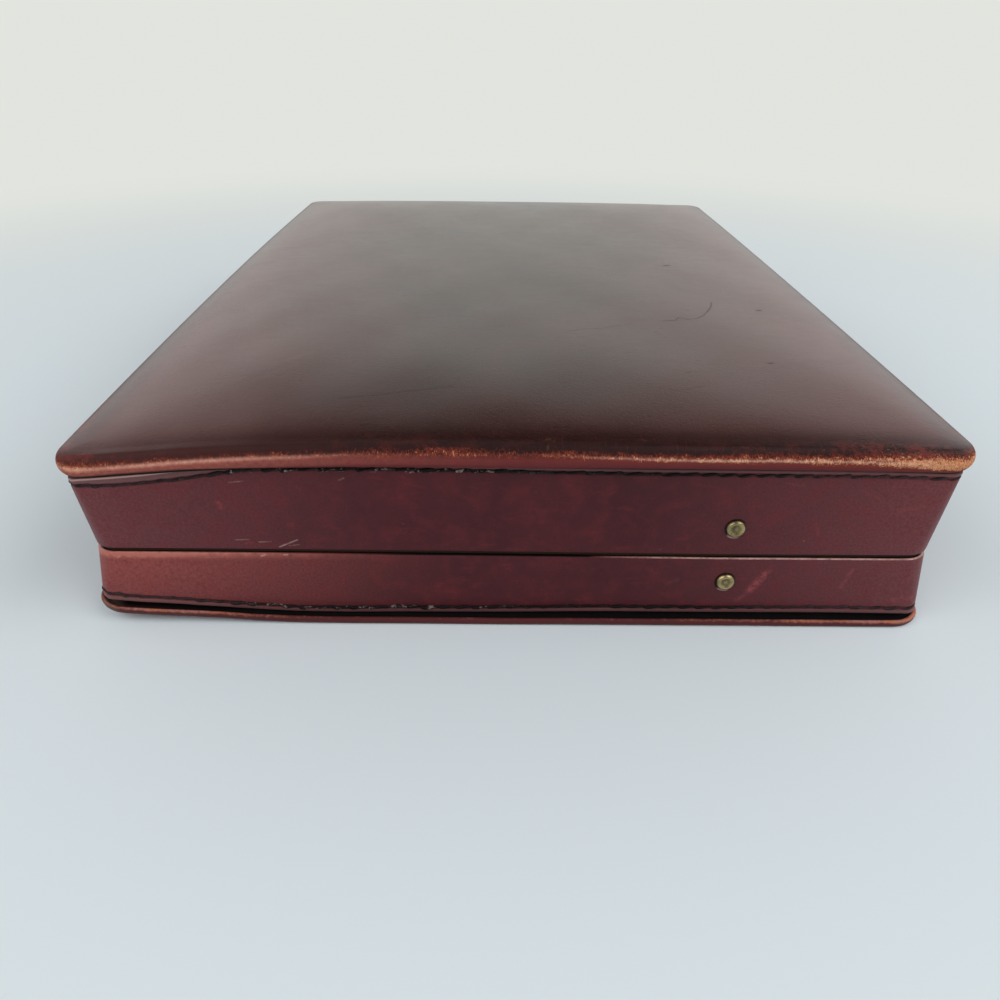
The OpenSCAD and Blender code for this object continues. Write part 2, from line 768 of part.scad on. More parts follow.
// Hasp: middle knuckle, strap over the parting line, and the lug that drops into the lock's notch
module hasp(side) {
    color("#c4a25a")
    lock_place(side) difference() {
        union() {
            translate([0, 0, hasp_back]) wall_plate(hasp_w / 2, hasp_low_z, hasp_shoulder_z, hasp_t, 2);
            translate([-hasp_knuckle_half, hasp_shoulder_z - 3, hasp_back])
                cube([2 * hasp_knuckle_half, hasp_pivot_z - hasp_shoulder_z + 3, hasp_t]);
            translate([0, hasp_pivot_z, hasp_pivot_out]) rotate([0, 90, 0])
                cylinder(h = 2 * hasp_knuckle_half, r = hasp_knuckle_r, center = true);
            translate([-lug_half_w, lug_low_z, plate_t + 0.4])
                cube([2 * lug_half_w, lug_high_z - lug_low_z, hasp_back - plate_t]);
        }
        translate([0, hasp_pivot_z, hasp_pivot_out]) rotate([0, 90, 0])
            cylinder(h = hasp_w, r = hasp_pin_r + run_gap, center = true);
    }
}

module hasp_plate_rivets() {
    color("#a08550")
    for (side = sides) lock_place(side) for (p = hasp_rivets_at) translate([p.x, p.y, 0]) small_rivet(plate_t);
}

// Bracket of the handle: a plate with two ears
module handle_bracket(side) {
    color("#b5924c")
    handle_place(side) difference() {
        union() {
            wall_plate(bracket_half_w, bracket_low_z, bracket_high_z, bracket_t, 2.5);
            for (s = sides)
                translate([s * (ear_x + ear_t / 2), handle_z, 0]) {
                    translate([0, 0, handle_stand]) rotate([0, 90, 0]) cylinder(h = ear_t, r = eye_r, center = true);
                    translate([-ear_t / 2, -eye_r, 0]) cube([ear_t, 2 * eye_r, handle_stand]);
                }
        }
        translate([0, handle_z, handle_stand]) rotate([0, 90, 0])
            cylinder(h = 2 * bracket_half_w, r = handle_pin_r + hole_gap, center = true);
        for (p = bracket_rivets_at) translate([p.x, p.y, 0]) small_rivet_hole();
    }
}

module handle_pin(side) {
    half = ear_x + ear_t;
    color("#8f8f8a")
    handle_place(side) translate([0, handle_z, handle_stand]) rotate([0, 90, 0]) {
        cylinder(h = 2 * half + 2 * eps, r = handle_pin_r, center = true);
        for (s = sides) translate([0, 0, s * (half + 0.4)]) cylinder(h = 0.8, r = handle_pin_r + 1, center = true);
    }
}

module handle_bracket_rivets() {
    color("#a08550")
    for (side = sides)
        handle_place(side) for (p = bracket_rivets_at) translate([p.x, p.y, 0]) small_rivet(bracket_t);
}

// The handle's own axes at rest: X along the case, Y out from the pivot, Z across the droop
module handle_frame() {
    translate([-case_w / 2 - handle_stand, 0, handle_z]) rotate([0, -handle_droop, 0]) rotate([0, 0, 90]) children();
}

// Centre line of the grip: straight out of each end, then one broad arch
function grip_arch(a) =
    let (c = cos(a), s = sin(a))
    [handle_y * sign(c) * pow(abs(c), 2 / grip_power), grip_bend + (handle_reach - grip_bend) * pow(abs(s), 2 / grip_power)];
function grip_line(start) = concat(
    [[handle_y, start]],
    [for (i = [0 : grip_rings]) grip_arch(180 * i / grip_rings)],
    [[-handle_y, start]]);
function swell(i) = let (t = min(max((i - 1) / grip_rings, 0), 1)) pow(sin(180 * t), 1.3);

// Tube along the grip's centre line, swelling towards its middle
module grip_tube(start, end_r, mid_r, around) {
    line = grip_line(start);
    last = len(line) - 1;
    ways = [for (i = [0 : last]) line[min(i + 1, last)] - line[max(i - 1, 0)]];
    points = [for (i = [0 : last]) let (way = ways[i] / norm(ways[i]), r = end_r + (mid_r - end_r) * swell(i))
        for (j = [0 : around - 1]) let (a = 360 * j / around)
            [line[i].x + r * cos(a) * way.y, line[i].y - r * cos(a) * way.x, r * sin(a)]];
    faces = concat(
        [[for (j = [around - 1 : -1 : 0]) j]],
        [for (i = [0 : last - 1], j = [0 : around - 1]) each let (k = (j + 1) % around) [
            [i * around + j, i * around + k, (i + 1) * around + k],
            [i * around + j, (i + 1) * around + k, (i + 1) * around + j]]],
        [[for (j = [0 : around - 1]) last * around + j]]);
    polyhedron(points, faces);
}

module handle_grip() {
    color("#4a2220")
    handle_frame() difference() {
        grip_tube(grip_start, grip_end_r, grip_r, grip_sides);
        grip_tube(grip_start - 1, core_r + 2 * run_gap, core_r + 2 * run_gap, grip_sides / 2);
    }
}

module handle_core() {
    color("#8f8f8a") handle_frame() grip_tube(core_start, core_r, core_r, grip_sides / 2);
}

// End fitting of the handle: an eye on the pin, and a cup round the grip's end
module handle_end(side) {
    color("#b5924c")
    handle_frame() translate([side * handle_y, 0, 0]) difference() {
        union() {
            rotate([0, 90, 0]) cylinder(h = 2 * eye_half_w, r = eye_r, center = true);
            rotate([-90, 0, 0]) cylinder(h = ferrule_start + eps, r = eye_r - 0.5);
            translate([0, ferrule_start, 0]) rotate([-90, 0, 0]) cylinder(h = ferrule_l, r = ferrule_r);
        }
        rotate([0, 90, 0]) cylinder(h = 2 * eye_half_w + 2, r = handle_pin_r + run_gap, center = true);
        translate([0, grip_start - hole_gap, 0]) rotate([-90, 0, 0])
            cylinder(h = ferrule_l + 2, r = grip_end_r + hole_gap);
    }
}

base_panel();
base_board();
base_frame();
base_wall();
base_lining();
lid_panel();
lid_pad();
lid_board();
lid_frame();
lid_wall();
lid_lining();
lid_pocket();
pocket_gussets();
base_hinge_leaf();
lid_hinge_leaf();
hinge_pin();
base_hinge_screws();
lid_hinge_screws();
base_stay_rivets();
lid_stay_rivets();
base_link(-1);  // near_base_link
base_link(1);  // far_base_link
lid_link(-1);  // near_lid_link
lid_link(1);  // far_lid_link
knee_rivet(-1);  // near_knee_rivet
knee_rivet(1);  // far_knee_rivet
lock_plate(-1);  // near_lock_plate
lock_plate(1);  // far_lock_plate
lock_case(-1);  // near_lock_case
lock_case(1);  // far_lock_case
lock_button(-1);  // near_lock_button
lock_button(1);  // far_lock_button
lock_rivets();
hasp_plate(-1);  // near_hasp_plate
hasp_plate(1);  // far_hasp_plate
hasp_pin(-1);  // near_hasp_pin
hasp_pin(1);  // far_hasp_pin
hasp(-1);  // near_hasp
hasp(1);  // far_hasp
hasp_plate_rivets();
handle_bracket(-1);  // near_handle_bracket
handle_bracket(1);  // far_handle_bracket
handle_pin(-1);  // near_handle_pin
handle_pin(1);  // far_handle_pin
handle_bracket_rivets();
handle_end(-1);  // near_handle_end
handle_end(1);  // far_handle_end
handle_core();
handle_grip();
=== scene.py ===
# Looks of the attache case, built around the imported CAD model.
# Lengths are in millimetres until a mesh is made, and in metres after that.
import math

import bmesh
import bpy
import numpy as np
from mathutils import Matrix, Vector
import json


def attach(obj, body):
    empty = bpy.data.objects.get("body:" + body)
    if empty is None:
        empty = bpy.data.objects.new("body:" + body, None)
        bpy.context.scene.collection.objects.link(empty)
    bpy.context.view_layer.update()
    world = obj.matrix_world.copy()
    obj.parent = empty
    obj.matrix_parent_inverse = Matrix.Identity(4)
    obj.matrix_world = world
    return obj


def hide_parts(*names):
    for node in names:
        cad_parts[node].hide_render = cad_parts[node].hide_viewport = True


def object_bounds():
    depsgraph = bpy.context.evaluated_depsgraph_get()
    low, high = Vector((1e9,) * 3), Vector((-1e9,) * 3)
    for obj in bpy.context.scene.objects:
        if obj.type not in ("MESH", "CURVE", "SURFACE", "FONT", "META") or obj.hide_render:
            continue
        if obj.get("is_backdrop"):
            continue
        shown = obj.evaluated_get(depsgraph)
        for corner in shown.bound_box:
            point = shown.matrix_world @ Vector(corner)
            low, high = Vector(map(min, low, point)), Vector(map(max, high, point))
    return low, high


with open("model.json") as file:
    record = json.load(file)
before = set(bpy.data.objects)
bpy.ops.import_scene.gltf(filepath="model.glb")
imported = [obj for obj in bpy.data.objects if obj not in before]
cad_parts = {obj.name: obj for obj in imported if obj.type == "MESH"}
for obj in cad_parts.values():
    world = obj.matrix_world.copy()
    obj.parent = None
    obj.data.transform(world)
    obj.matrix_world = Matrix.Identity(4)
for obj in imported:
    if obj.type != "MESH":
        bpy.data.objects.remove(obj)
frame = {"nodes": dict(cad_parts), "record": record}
cadBox = [list(corner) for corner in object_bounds()]
mm = 0.001

# What the CAD says about the case: its walls, its edges, and the rolled edge round the top
case = {
    "width": 320,
    "length": 450,
    "corner": 9,
    "baseTop": 31.5,
    "lidBottom": 32.5,
    "lidTop": 68.4,
    "rollZ": 73.2,
    "rollRadius": 4.7,
    "rollOffset": -0.2,
    "rollBow": 1.2,
    "crown": 5,
    "crownReach": 80,
    "wallThick": 1.8,
    "hingeHalf": 200,
}
steps = {"corner": 12, "short": 76, "long": 108}

# How the leather has slumped at the front: height changes in mm along the front end, by x
lidSlump = {
    "x": [-165, -159, -152, -145, -139, -129, -115, -102, -93, -77, -59, -41, -5, 12, 48, 84, 120, 138,
          165],
    "edge": [-6.1, -6.05, -5.2, -4.6, -4.1, -3.4, -1.5, -0.2, 0.3, 0.5, 0.7, 0.5, 0.05, -0.25, -0.5,
             -0.5, -0.5, -0.4, -0.35],
    "stitch": [-8.65, -8.5, -8.05, -7.95, -7.8, -7.1, -5.4, -3.5, -2.2, -1.8, -1.45, -1.65, -2.15,
               -2.45, -2.75, -2.7, -2.7, -2.6, -2.55],
    "roll": [-5.2, -5.2, -5.3, -4.9, -4.3, -3.6, -2.4, -1.7, -1.2, -0.75, -0.4, -0.35, -0.3, -0.2,
             0.05, 0.25, 0.2, 0.1, -0.1],
    "fade": 70,
    "sideFade": 360,
}
baseSlump = {
    "x": [-165, -155, -139, -124, -110, -100, -82, -62, -43, -23, 0, 20, 36, 75, 95, 134, 154, 165],
    "lip": [4.9, 4.5, 3.4, 2.8, 1.9, 0.95, 0.1, -0.1, 0, -0.1, -0.2, 0, 0, 0, 0, -0.1, 0, 0],
    "edge": [5.7, 5.4, 3.9, 2.6, 1.0, -0.2, -1.3, -1.5, -1.2, -1.1, -0.9, -0.5, -0.3, -0.3, -0.2, 0,
             0.6, 0.7],
    "stitch": [8.6, 8.3, 6.7, 5.4, 3.8, 2.5, 1.2, 0.95, 1.5, 1.5, 1.8, 2.2, 2.5, 2.4, 2.6, 2.8, 3.4,
               3.6],
    "fade": 60,
    "sideFade": 60,
}
partingSag = {  # the cut edges at the parting aren't quite straight
    "x": [-165, -100, -20, 40, 80, 150, 163],
    "low": [-0.35, -0.4, -0.6, -0.95, -1.2, -1.05, -0.3],
    "fade": 50,
    "sideFade": 50,
}
longFade = 400  # mm, a fade nearly as long as this falls off at once, and a short one starts level


def fadeBack(y, reach):  # 1 at the front end, 0 from a reach behind it
    share = np.clip((np.asarray(y) + case["length"] / 2) / reach, 0, 1)
    level = np.clip(longFade / np.maximum(reach, 1) - 1, 0, 2)
    return (1 - share) ** 2 * (1 + level * share)


def slump(table, key, x, y, rest=0.0):  # rest is the value away from the front
    grid = np.arange(-190, 191)
    window = np.hanning(15)
    smooth = np.convolve(np.interp(grid, table["x"], table[key]), window / window.sum(), "same")
    share = fadeBack(y, np.interp(x, [-160, -95], [table["sideFade"], table["fade"]]))
    return np.interp(x, grid, smooth) * share + rest * (1 - share)


# Rings round the case
def ringPoints(out, corner=None):
    radius = max((case["corner"] if corner is None else corner) + out, 0.0)
    cx = case["width"] / 2 + out - radius
    cy = case["length"] / 2 + out - radius
    corners = [(cx, cy), (-cx, cy), (-cx, -cy), (cx, -cy)]
    points = []
    normals = []
    for i in range(4):
        here = np.array(corners[i])
        after = np.array(corners[(i + 1) % 4])
        for k in range(steps["corner"]):
            angle = math.pi / 2 * (i + k / steps["corner"])
            way = np.array([math.cos(angle), math.sin(angle)])
            points.append(here + radius * way)
            normals.append(way)
        angle = math.pi / 2 * (i + 1)
        way = np.array([math.cos(angle), math.sin(angle)])
        count = steps["short"] if i % 2 == 0 else steps["long"]
        for k in range(count):
            points.append(here + radius * way + (after - here) * k / count)
            normals.append(way)
    return np.array(points), np.array(normals)


def ringAt(out, height, corner=None):  # height is one number, or one for each point
    xy = ringPoints(out, corner)[0]
    return np.column_stack([xy, np.broadcast_to(height, len(xy))])


outlineXY, outlineNormal = ringPoints(0)
outX, outY = outlineXY.T
hops = np.linalg.norm(np.diff(outlineXY, axis=0, append=outlineXY[:1]), axis=1)
outlineRun = np.concatenate([[0], np.cumsum(hops)])
onHinge = (outX > case["width"] / 2 - 1) & (np.abs(outY) < case["hingeHalf"] + 1)


def nearCorners(reach, inset=2):  # along the outline, 1 at the corners and falling off round them
    besideX = np.abs(outX) - case["width"] / 2 + inset
    besideY = np.abs(outY) - case["length"] / 2 + inset
    return np.exp(-((besideX ** 2 + besideY ** 2) / reach ** 2))


# Meshes
def makePiece(name, points, faces, uvs=None, values=None):
    mesh = bpy.data.meshes.new(name)
    mesh.from_pydata([tuple(p) for p in np.asarray(points) * mm], [], [tuple(f) for f in faces])
    if uvs is not None:
        layer = mesh.uv_layers.new(name="run")
        layer.data.foreach_set("uv", (np.asarray(uvs) * mm).astype(np.float32).ravel())
    for key, numbers in (values or {}).items():
        attribute = mesh.attributes.new(key, "FLOAT", "POINT")
        attribute.data.foreach_set("value", np.asarray(numbers, np.float32).ravel())
    mesh.polygons.foreach_set("use_smooth", [True] * len(mesh.polygons))
    return addObject(name, mesh)


def addObject(name, data):
    made = bpy.data.objects.new(name, data)
    bpy.context.scene.collection.objects.link(made)
    return made


def weld(piece, distance=0.002):
    work = bmesh.new()
    work.from_mesh(piece.data)
    bmesh.ops.remove_doubles(work, verts=work.verts, dist=distance * mm)
    bmesh.ops.dissolve_degenerate(work, edges=work.edges, dist=distance * mm)
    if work.calc_volume(signed=True) < 0:  # inside out
        bmesh.ops.reverse_faces(work, faces=work.faces)
    work.to_mesh(piece.data)
    work.free()
    return piece


def sweep(name, rings, across, closed, values=None):
    # rings is (stations, outline points, 3), across is how far each station is along the profile
    rings = np.array(rings)
    rows, count = rings.shape[:2]
    faces = []
    uvs = []
    for i in range(rows if closed else rows - 1):
        j = (i + 1) % rows
        for k in range(count):
            n = (k + 1) % count
            faces.append((i * count + k, i * count + n, j * count + n, j * count + k))
            u0, u1 = outlineRun[k], outlineRun[k + 1]
            v0, v1 = across[i], across[i + 1]
            uvs += [(u0, v0), (u1, v0), (u1, v1), (u0, v1)]
    return weld(makePiece(name, rings.reshape(-1, 3), faces, uvs, values))


def settle(piece, coat, body, node):
    # its material, the body that it rides on, and the CAD node that it stands for
    piece.data.materials.append(coat)
    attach(piece, body)
    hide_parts(node)
    return piece


def recoat(node, coat):  # a better material on a CAD node
    materials = frame["nodes"][node].data.materials
    materials.clear()
    materials.append(coat)


# Shader and Geometry Nodes helper: one output of a node, with arithmetic
class Wire:
    def __init__(self, tree, socket=None):
        self.tree = tree
        self.socket = socket

    def node(self, kind, settings=None, values=None, out=0):
        made = self.tree.nodes.new(kind)
        for name, value in (settings or {}).items():
            setattr(made, name, value)
        for name, value in (values or {}).items():
            if isinstance(value, Wire):
                self.tree.links.new(value.socket, made.inputs[name])
            else:
                made.inputs[name].default_value = value
        return Wire(self.tree, made.outputs[out])

    def math(self, operation, *terms):
        return self.node("ShaderNodeMath", {"operation": operation}, dict(enumerate(terms)))

    def vector(self, operation, *terms, out=0):
        return self.node("ShaderNodeVectorMath", {"operation": operation}, dict(enumerate(terms)), out)

    def __add__(self, other):
        return self.math("ADD", self, other)

    __radd__ = __add__

    def __sub__(self, other):
        return self.math("SUBTRACT", self, other)

    def __rsub__(self, other):
        return self.math("SUBTRACT", other, self)

    def __mul__(self, other):
        return self.math("MULTIPLY", self, other)

    __rmul__ = __mul__

    def __truediv__(self, other):
        return self.math("DIVIDE", self, other)

    def __rtruediv__(self, other):
        return self.math("DIVIDE", other, self)

    def __pow__(self, other):
        return self.math("POWER", self, other)

    def __neg__(self):
        return self.math("MULTIPLY", self, -1)

    def __abs__(self):
        return self.math("ABSOLUTE", self)

    def most(self, other):
        return self.math("MAXIMUM", self, other)

    def least(self, other):
        return self.math("MINIMUM", self, other)

    def ease(self, low, high):  # smooth step from 0 at low to 1 at high
        values = {0: self, 1: low, 2: high}
        return self.node("ShaderNodeMapRange", {"interpolation_type": "SMOOTHSTEP"}, values)

    def bell(self):  # 1 at zero, and falling off to both sides
        return self.math("EXPONENT", -(self * self))

    def mix(self, first, second):  # self is the factor between two colours
        return self.node("ShaderNodeMix", {"data_type": "RGBA"}, {0: self, 6: first, 7: second}, 2)

    def part(self, axis):
        return self.node("ShaderNodeSeparateXYZ", None, {0: self}, "XYZ".index(axis))

    def scaled(self, x, y, z=1.0):
        return self.vector("MULTIPLY", self, (x, y, z))

    def join(self, x, y, z):
        return self.node("ShaderNodeCombineXYZ", None, {0: x, 1: y, 2: z})


def rgb(red, green, blue):  # a colour as a picture shows it, made linear
    parts = [v / 255 for v in (red, green, blue)]
    return [v / 12.92 if v <= 0.04045 else ((v + 0.055) / 1.055) ** 2.4 for v in parts] + [1]


class Coat:  # a material being made: where its patterns are read, and its shader
    def __init__(self, name, fixed):
        self.material = bpy.data.materials.new(name)
        self.material.use_nodes = True
        tree = self.material.node_tree
        self.shader = tree.nodes["Principled BSDF"]
        for key, value in fixed.items():
            self.shader.inputs[key].default_value = value
        self.start = Wire(tree)
        self.place = self.start.node("ShaderNodeTexCoord", None, None, "Object")

    def run(self):
        return self.start.node("ShaderNodeUVMap", {"uv_map": "run"})

    def value(self, key):
        return self.start.node("ShaderNodeAttribute", {"attribute_name": key}, None, "Fac")

    def noise(self, where, size, detail=3.0, rough=0.55, warp=0.0):  # size of a patch in mm
        return self.start.node("ShaderNodeTexNoise", None, {
            "Vector": where, "Scale": 1000 / size, "Detail": detail, "Roughness": rough, "Distortion": warp})

    def cells(self, where, size):
        return self.start.node("ShaderNodeTexVoronoi", None, {"Vector": where, "Scale": 1000 / size})

    def finish(self, colour, rough, bumps):  # bumps are pairs of a height and its depth in mm
        link = self.material.node_tree.links.new
        link(colour.socket, self.shader.inputs["Base Color"])
        link(rough.socket, self.shader.inputs["Roughness"])
        before = {}
        for height, depth in bumps:
            normal = self.start.node("ShaderNodeBump", None, {
                "Height": height, "Distance": depth * mm, "Strength": 1.0, **before})
            before = {"Normal": normal}
        link(normal.socket, self.shader.inputs["Normal"])
        return self.material


def streak(coat, where, first, last, width, soft):
    # mask of a straight mark between two points in mm, full up to soft times its width
    a = np.array(first) * mm
    way = np.array(last) * mm - a
    fromFirst = where.vector("SUBTRACT", where, tuple(a))
    along = where.vector("DOT_PRODUCT", fromFirst, tuple(way / way.dot(way)), out=1)
    held = along.most(0.0).least(1.0)
    nearest = where.join(*[held * float(way[i]) + float(a[i]) for i in range(3)])
    gap = where.vector("DISTANCE", where, nearest, out=1)
    return 1 - gap.ease(width * soft * mm, width * mm)


# Burgundy leather of the walls. Distances from the edges and the stitches are kept on the pieces, in mm.
wallLook = {
    "deep": rgb(63, 22, 28),
    "middle": rgb(77, 27, 33),
    "red": rgb(116, 40, 44),
    "warm": rgb(158, 78, 72),
    "paintedSheen": rgb(138, 76, 80),
    "pale": rgb(186, 156, 150),
    "wax": rgb(176, 158, 152),
    "spot": rgb(146, 60, 62),
    "rub": rgb(146, 70, 74),
    "grimeAndShade": rgb(16, 8, 9),
    "cut": rgb(196, 156, 150),
    "strip": rgb(110, 80, 80),
    "band": rgb(182, 108, 94),
}
# Marks on the front end: x and z of one tip, x and z of the other, width, and strength where it differs
lidMarks = {
    "scratch": (-88, 33.9, -81, 37.1, 0.5),
    "pale": [(-84.5, 34.4, -80.5, 35.0, 0.35), (-104, 36.9, -99.5, 37.1, 0.45),
             (-95.5, 36.0, -91, 36.2, 0.4), (-102.5, 61.6, -97.5, 62.2, 0.45), (-63, 63.0, -61, 63.8, 0.6)],
    "red": [(-107.8, 53.2, -107.2, 51.2, 1.8, 0.6), (-84, 43.6, -82, 43.9, 1.2, 0.3),
            (-100.5, 35.2, -98.5, 35.6, 1.0, 0.45), (141, 52, 149, 54, 1.8, 0.35),
            (126, 60, 133, 57, 1.2, 0.25), (112, 46, 114, 41, 1.0, 0.25),
            (98, 63, 104, 62.3, 1.0, 0.3), (136, 62.5, 142, 61.8, 0.9, 0.3)],
}
baseMarks = {
    "rubs": [(88, 10.0, 91, 13.0, 1.5, 0.45), (92.5, 15.0, 97.2, 22.6, 2.6, 0.95),
             (96.5, 21.5, 99.6, 26.5, 1.8, 0.5), (128, 17, 130.5, 25.5, 1.6, 0.4),
             (149, 11.0, 156.5, 12.4, 1.9, 0.7), (60, 18, 64, 20, 1.6, 0.15)],
    "nicks": [(-95.5, 29.6, -94, 30.2, 0.7), (-87, 30.2, -85.5, 30.3, 0.5), (-150, 28.5, -149, 29.2, 0.5)],
}
stayRivet = {"x": 82.4, "baseZ": 19.2, "lidZ": 43.7, "segments": 40}


def leatherGrain(coat, dent=0.14, crease=0.07):
    # fine pores, and longer creases
    pores = coat.cells(coat.place, 0.55).ease(0.0, 0.6)
    creases = coat.noise(coat.place, 1.6, 5.0, 0.62)
    dents = coat.noise(coat.place, 26, 2.0, 0.5)
    return [(dents, dent), (creases, crease), (pores, 0.03)]


def wallLeather(name, marks):
    look = wallLook
    coat = Coat(name, {"Specular IOR Level": 0.2, "IOR": 1.5})
    place = coat.place
    paintedSheen = coat.value("paintedSheen")
    warm = coat.value("warm")
    stitch = coat.value("stitch")
    fromSeam = coat.value("seam")
    parting = coat.value("parting")
    rubbedAndLit = coat.value("rubbedAndLit")
    shown = coat.value("shown")  # where the upper edge of the wall is in sight, and catches the light
    broad = coat.noise(place, 50, 3.0, 0.6).ease(0.32, 0.68)
    patch = coat.noise(place, 9, 4.0, 0.6, 0.3).ease(0.42, 0.72)
    fleck = coat.noise(place, 1.0, 5.0, 0.8).ease(0.3, 0.75)
    colour = broad.mix(look["deep"], look["middle"])
    # painted sheen, paler towards the corners of each end
    colour = paintedSheen.mix(colour, look["paintedSheen"])
    # warmer tone, with a painted highlight growing towards the rounded top of the base on the left
    colour = (warm * (0.85 + 0.2 * patch)).least(1.0).mix(colour, look["warm"])
    colour = (patch * 0.3).mix(colour, look["red"])
    colour = (0.6 * fleck).mix(colour, look["deep"])
    # rubbed places, a little redder, drawn out along the wall
    rub = coat.noise(place.scaled(0.35, 0.35), 4, 5.0, 0.75).ease(0.54, 0.72)
    colour = (rub * 0.28).mix(colour, look["red"])
    scuff = coat.noise(place.scaled(0.5, 0.5, 1.6), 2.4, 5.0, 0.75).ease(0.68, 0.76)
    colour = (scuff * 0.3).mix(colour, look["pale"])
    colour = marks(coat, colour)
    # grey strip between the stitches and the seam
    soft = coat.noise(place, 2.4, 4.0, 0.7)
    strip = stitch.ease(0.7, 1.2) * (0.85 + 0.5 * (soft - 0.5))
    colour = (strip * (0.65 + 0.35 * paintedSheen)).mix(colour, look["strip"])
    # dirt beside the thread, and painted shade in the seam under the roll, less of both towards the right
    beside = 1 - abs(stitch).ease(0.2, 1.1)
    seam = (1 - fromSeam.ease(0.1, 0.5)) * (1 - shown)
    towardsRight = place.part("X").ease(0.02, 0.12)
    darkening = (beside * (0.7 - 0.4 * towardsRight)).most(seam * (0.9 - 0.75 * towardsRight))
    colour = darkening.mix(colour, look["grimeAndShade"])
    # painted highlight: the pale cut edge at the top of the wall, where it shows and catches the light
    edge = fromSeam.ease(0.05, 0.3) * (1 - fromSeam.ease(0.6, 1.1))
    colour = (edge * shown * 0.9).mix(colour, look["cut"])
    # painted highlight: a soft lighter band under the parting, where the rounded top edge of the base
    # catches the light
    band = parting.ease(0.2, 1.0) * (1 - parting.ease(0.8, 4.4)) * (0.9 + 2.6 * (soft - 0.5))
    colour = (band * warm * warm * 2.2).least(0.8).most(0.0).mix(colour, look["band"])
    # the cut edge at the parting: pale where it is worn, with a painted highlight, and painted shade where
    # it faces down and inside the gap
    rim = (1 - parting.ease(0.9, 1.3)) * parting.ease(0.15, 0.45)
    colour = (rim * rubbedAndLit * (0.75 + 2.4 * (soft - 0.5))).most(0.0).mix(colour, look["cut"])
    below = (1 - parting.ease(0.8, 1.3)) * (1 - rubbedAndLit.ease(0.0, 0.05)) * (1 - warm.ease(0.05, 0.3))
    inner = 1 - parting.ease(0.1, 0.3)
    colour = below.most(inner).mix(colour, look["grimeAndShade"])
    rough = 0.42 + 0.08 * patch + 0.10 * scuff + 0.3 * beside.most(seam)
    return coat.finish(colour, rough, leatherGrain(coat))


def frontStreak(coat, x0, z0, x1, z1, width, soft):  # a streak on the front end, by x and z
    front = -case["length"] / 2
    return streak(coat, coat.place, (x0, front, z0), (x1, front, z1), width, soft)


def lidWallMarks(coat, colour):
    look = wallLook
    place = coat.place
    broken = coat.noise(place, 1.1, 4.0, 0.8).ease(0.40, 0.60)
    scratch = frontStreak(coat, *lidMarks["scratch"], 0.1)
    colour = (scratch * (0.25 + 0.3 * broken)).mix(colour, look["pale"])
    for mark in lidMarks["pale"]:
        colour = (frontStreak(coat, *mark, 0.1) * broken * 0.3).mix(colour, look["pale"])
    # wax on and under the upper stitches, left of the middle
    flecks = coat.noise(place.scaled(0.6, 0.6), 1.4, 5.0, 0.8).ease(0.58, 0.70)
    x = place.part("X")
    zone = (x + 0.104).ease(0.0, 0.012) * (1 - (x + 0.036).ease(0.0, 0.02))
    zone = zone * (1 - place.part("Y").ease(-0.2246, -0.224))
    stitch = coat.value("stitch")
    band = stitch.ease(-1.7, -0.7) * (1 - stitch.ease(0.5, 1.2))
    colour = (flecks * zone * band * 0.75).mix(colour, look["wax"])
    for *mark, amount in lidMarks["red"]:
        spot = frontStreak(coat, *mark, 0.05)
        colour = (spot * (0.3 + broken) * amount * 0.6).mix(colour, look["spot"])
    return rivetRings(coat, colour, stayRivet["lidZ"])


def baseWallMarks(coat, colour):
    look = wallLook
    broken = coat.noise(coat.place.scaled(0.7, 1.0), 2.2, 5.0, 0.8).ease(0.34, 0.62)
    for *mark, amount in baseMarks["rubs"]:
        colour = (frontStreak(coat, *mark, 0.0) * broken * amount * 0.85).mix(colour, look["rub"])
    for mark in baseMarks["nicks"]:
        colour = (frontStreak(coat, *mark, 0.1) * 0.55).mix(colour, look["pale"])
    return rivetRings(coat, colour, stayRivet["baseZ"])


def rivetRings(coat, colour, height):
    # painted shadow round the heads of the stay rivets, strongest on the upper left, and a painted highlight
    # on the leather's rim under each
    look = wallLook
    place = coat.place
    x = stayRivet["x"] * mm
    z = height * mm
    across = place.join(place.part("X"), 0.0, place.part("Z"))
    gap = place.vector("DISTANCE", across, (x, 0.0, z), out=1)
    least = gap.most(0.001)
    besideX = place.part("X") - x
    ends = abs(place.part("Y")).ease(0.224, 0.2246)
    below = ((z - place.part("Z") - 0.15 * besideX) / least).ease(0.78, 0.98)
    right = (besideX * 0.8 - (place.part("Z") - z) * 0.6) / least
    ring = gap.ease(0.0034, 0.0038) * (1 - gap.ease(0.0042, 0.0047))
    darkening = (1 - gap.ease(0.0038, 0.0046)) * (1 - right.ease(0.0, 0.7))
    colour = (darkening * ends * 0.95 * (1 - below)).mix(colour, look["grimeAndShade"])
    return (ring * below * ends * 0.55).mix(colour, look["pale"])


# Leather of the top and the handle: darker and browner, with a shine. The pieces keep how far each point is
# from the line that wears (crest, in mm, up is more), and how much and how wide it is worn.
topLook = {
    "deep": rgb(44, 22, 20),
    "middle": rgb(60, 28, 25),
    "side": rgb(92, 41, 37),
    "face": rgb(110, 43, 44),
    "rust": rgb(118, 44, 28),
    "tan": rgb(180, 110, 74),
    "sand": rgb(214, 158, 122),
    "line": rgb(222, 178, 158),
    "lineLeft": rgb(206, 148, 130),
    "rubbedAndLit": rgb(160, 90, 78),
    "ochre": rgb(146, 90, 52),
    "gold": rgb(220, 152, 108),
    "shade": rgb(34, 8, 7),
    "blotch": rgb(104, 36, 34),
    "dark": rgb(12, 7, 6),
}
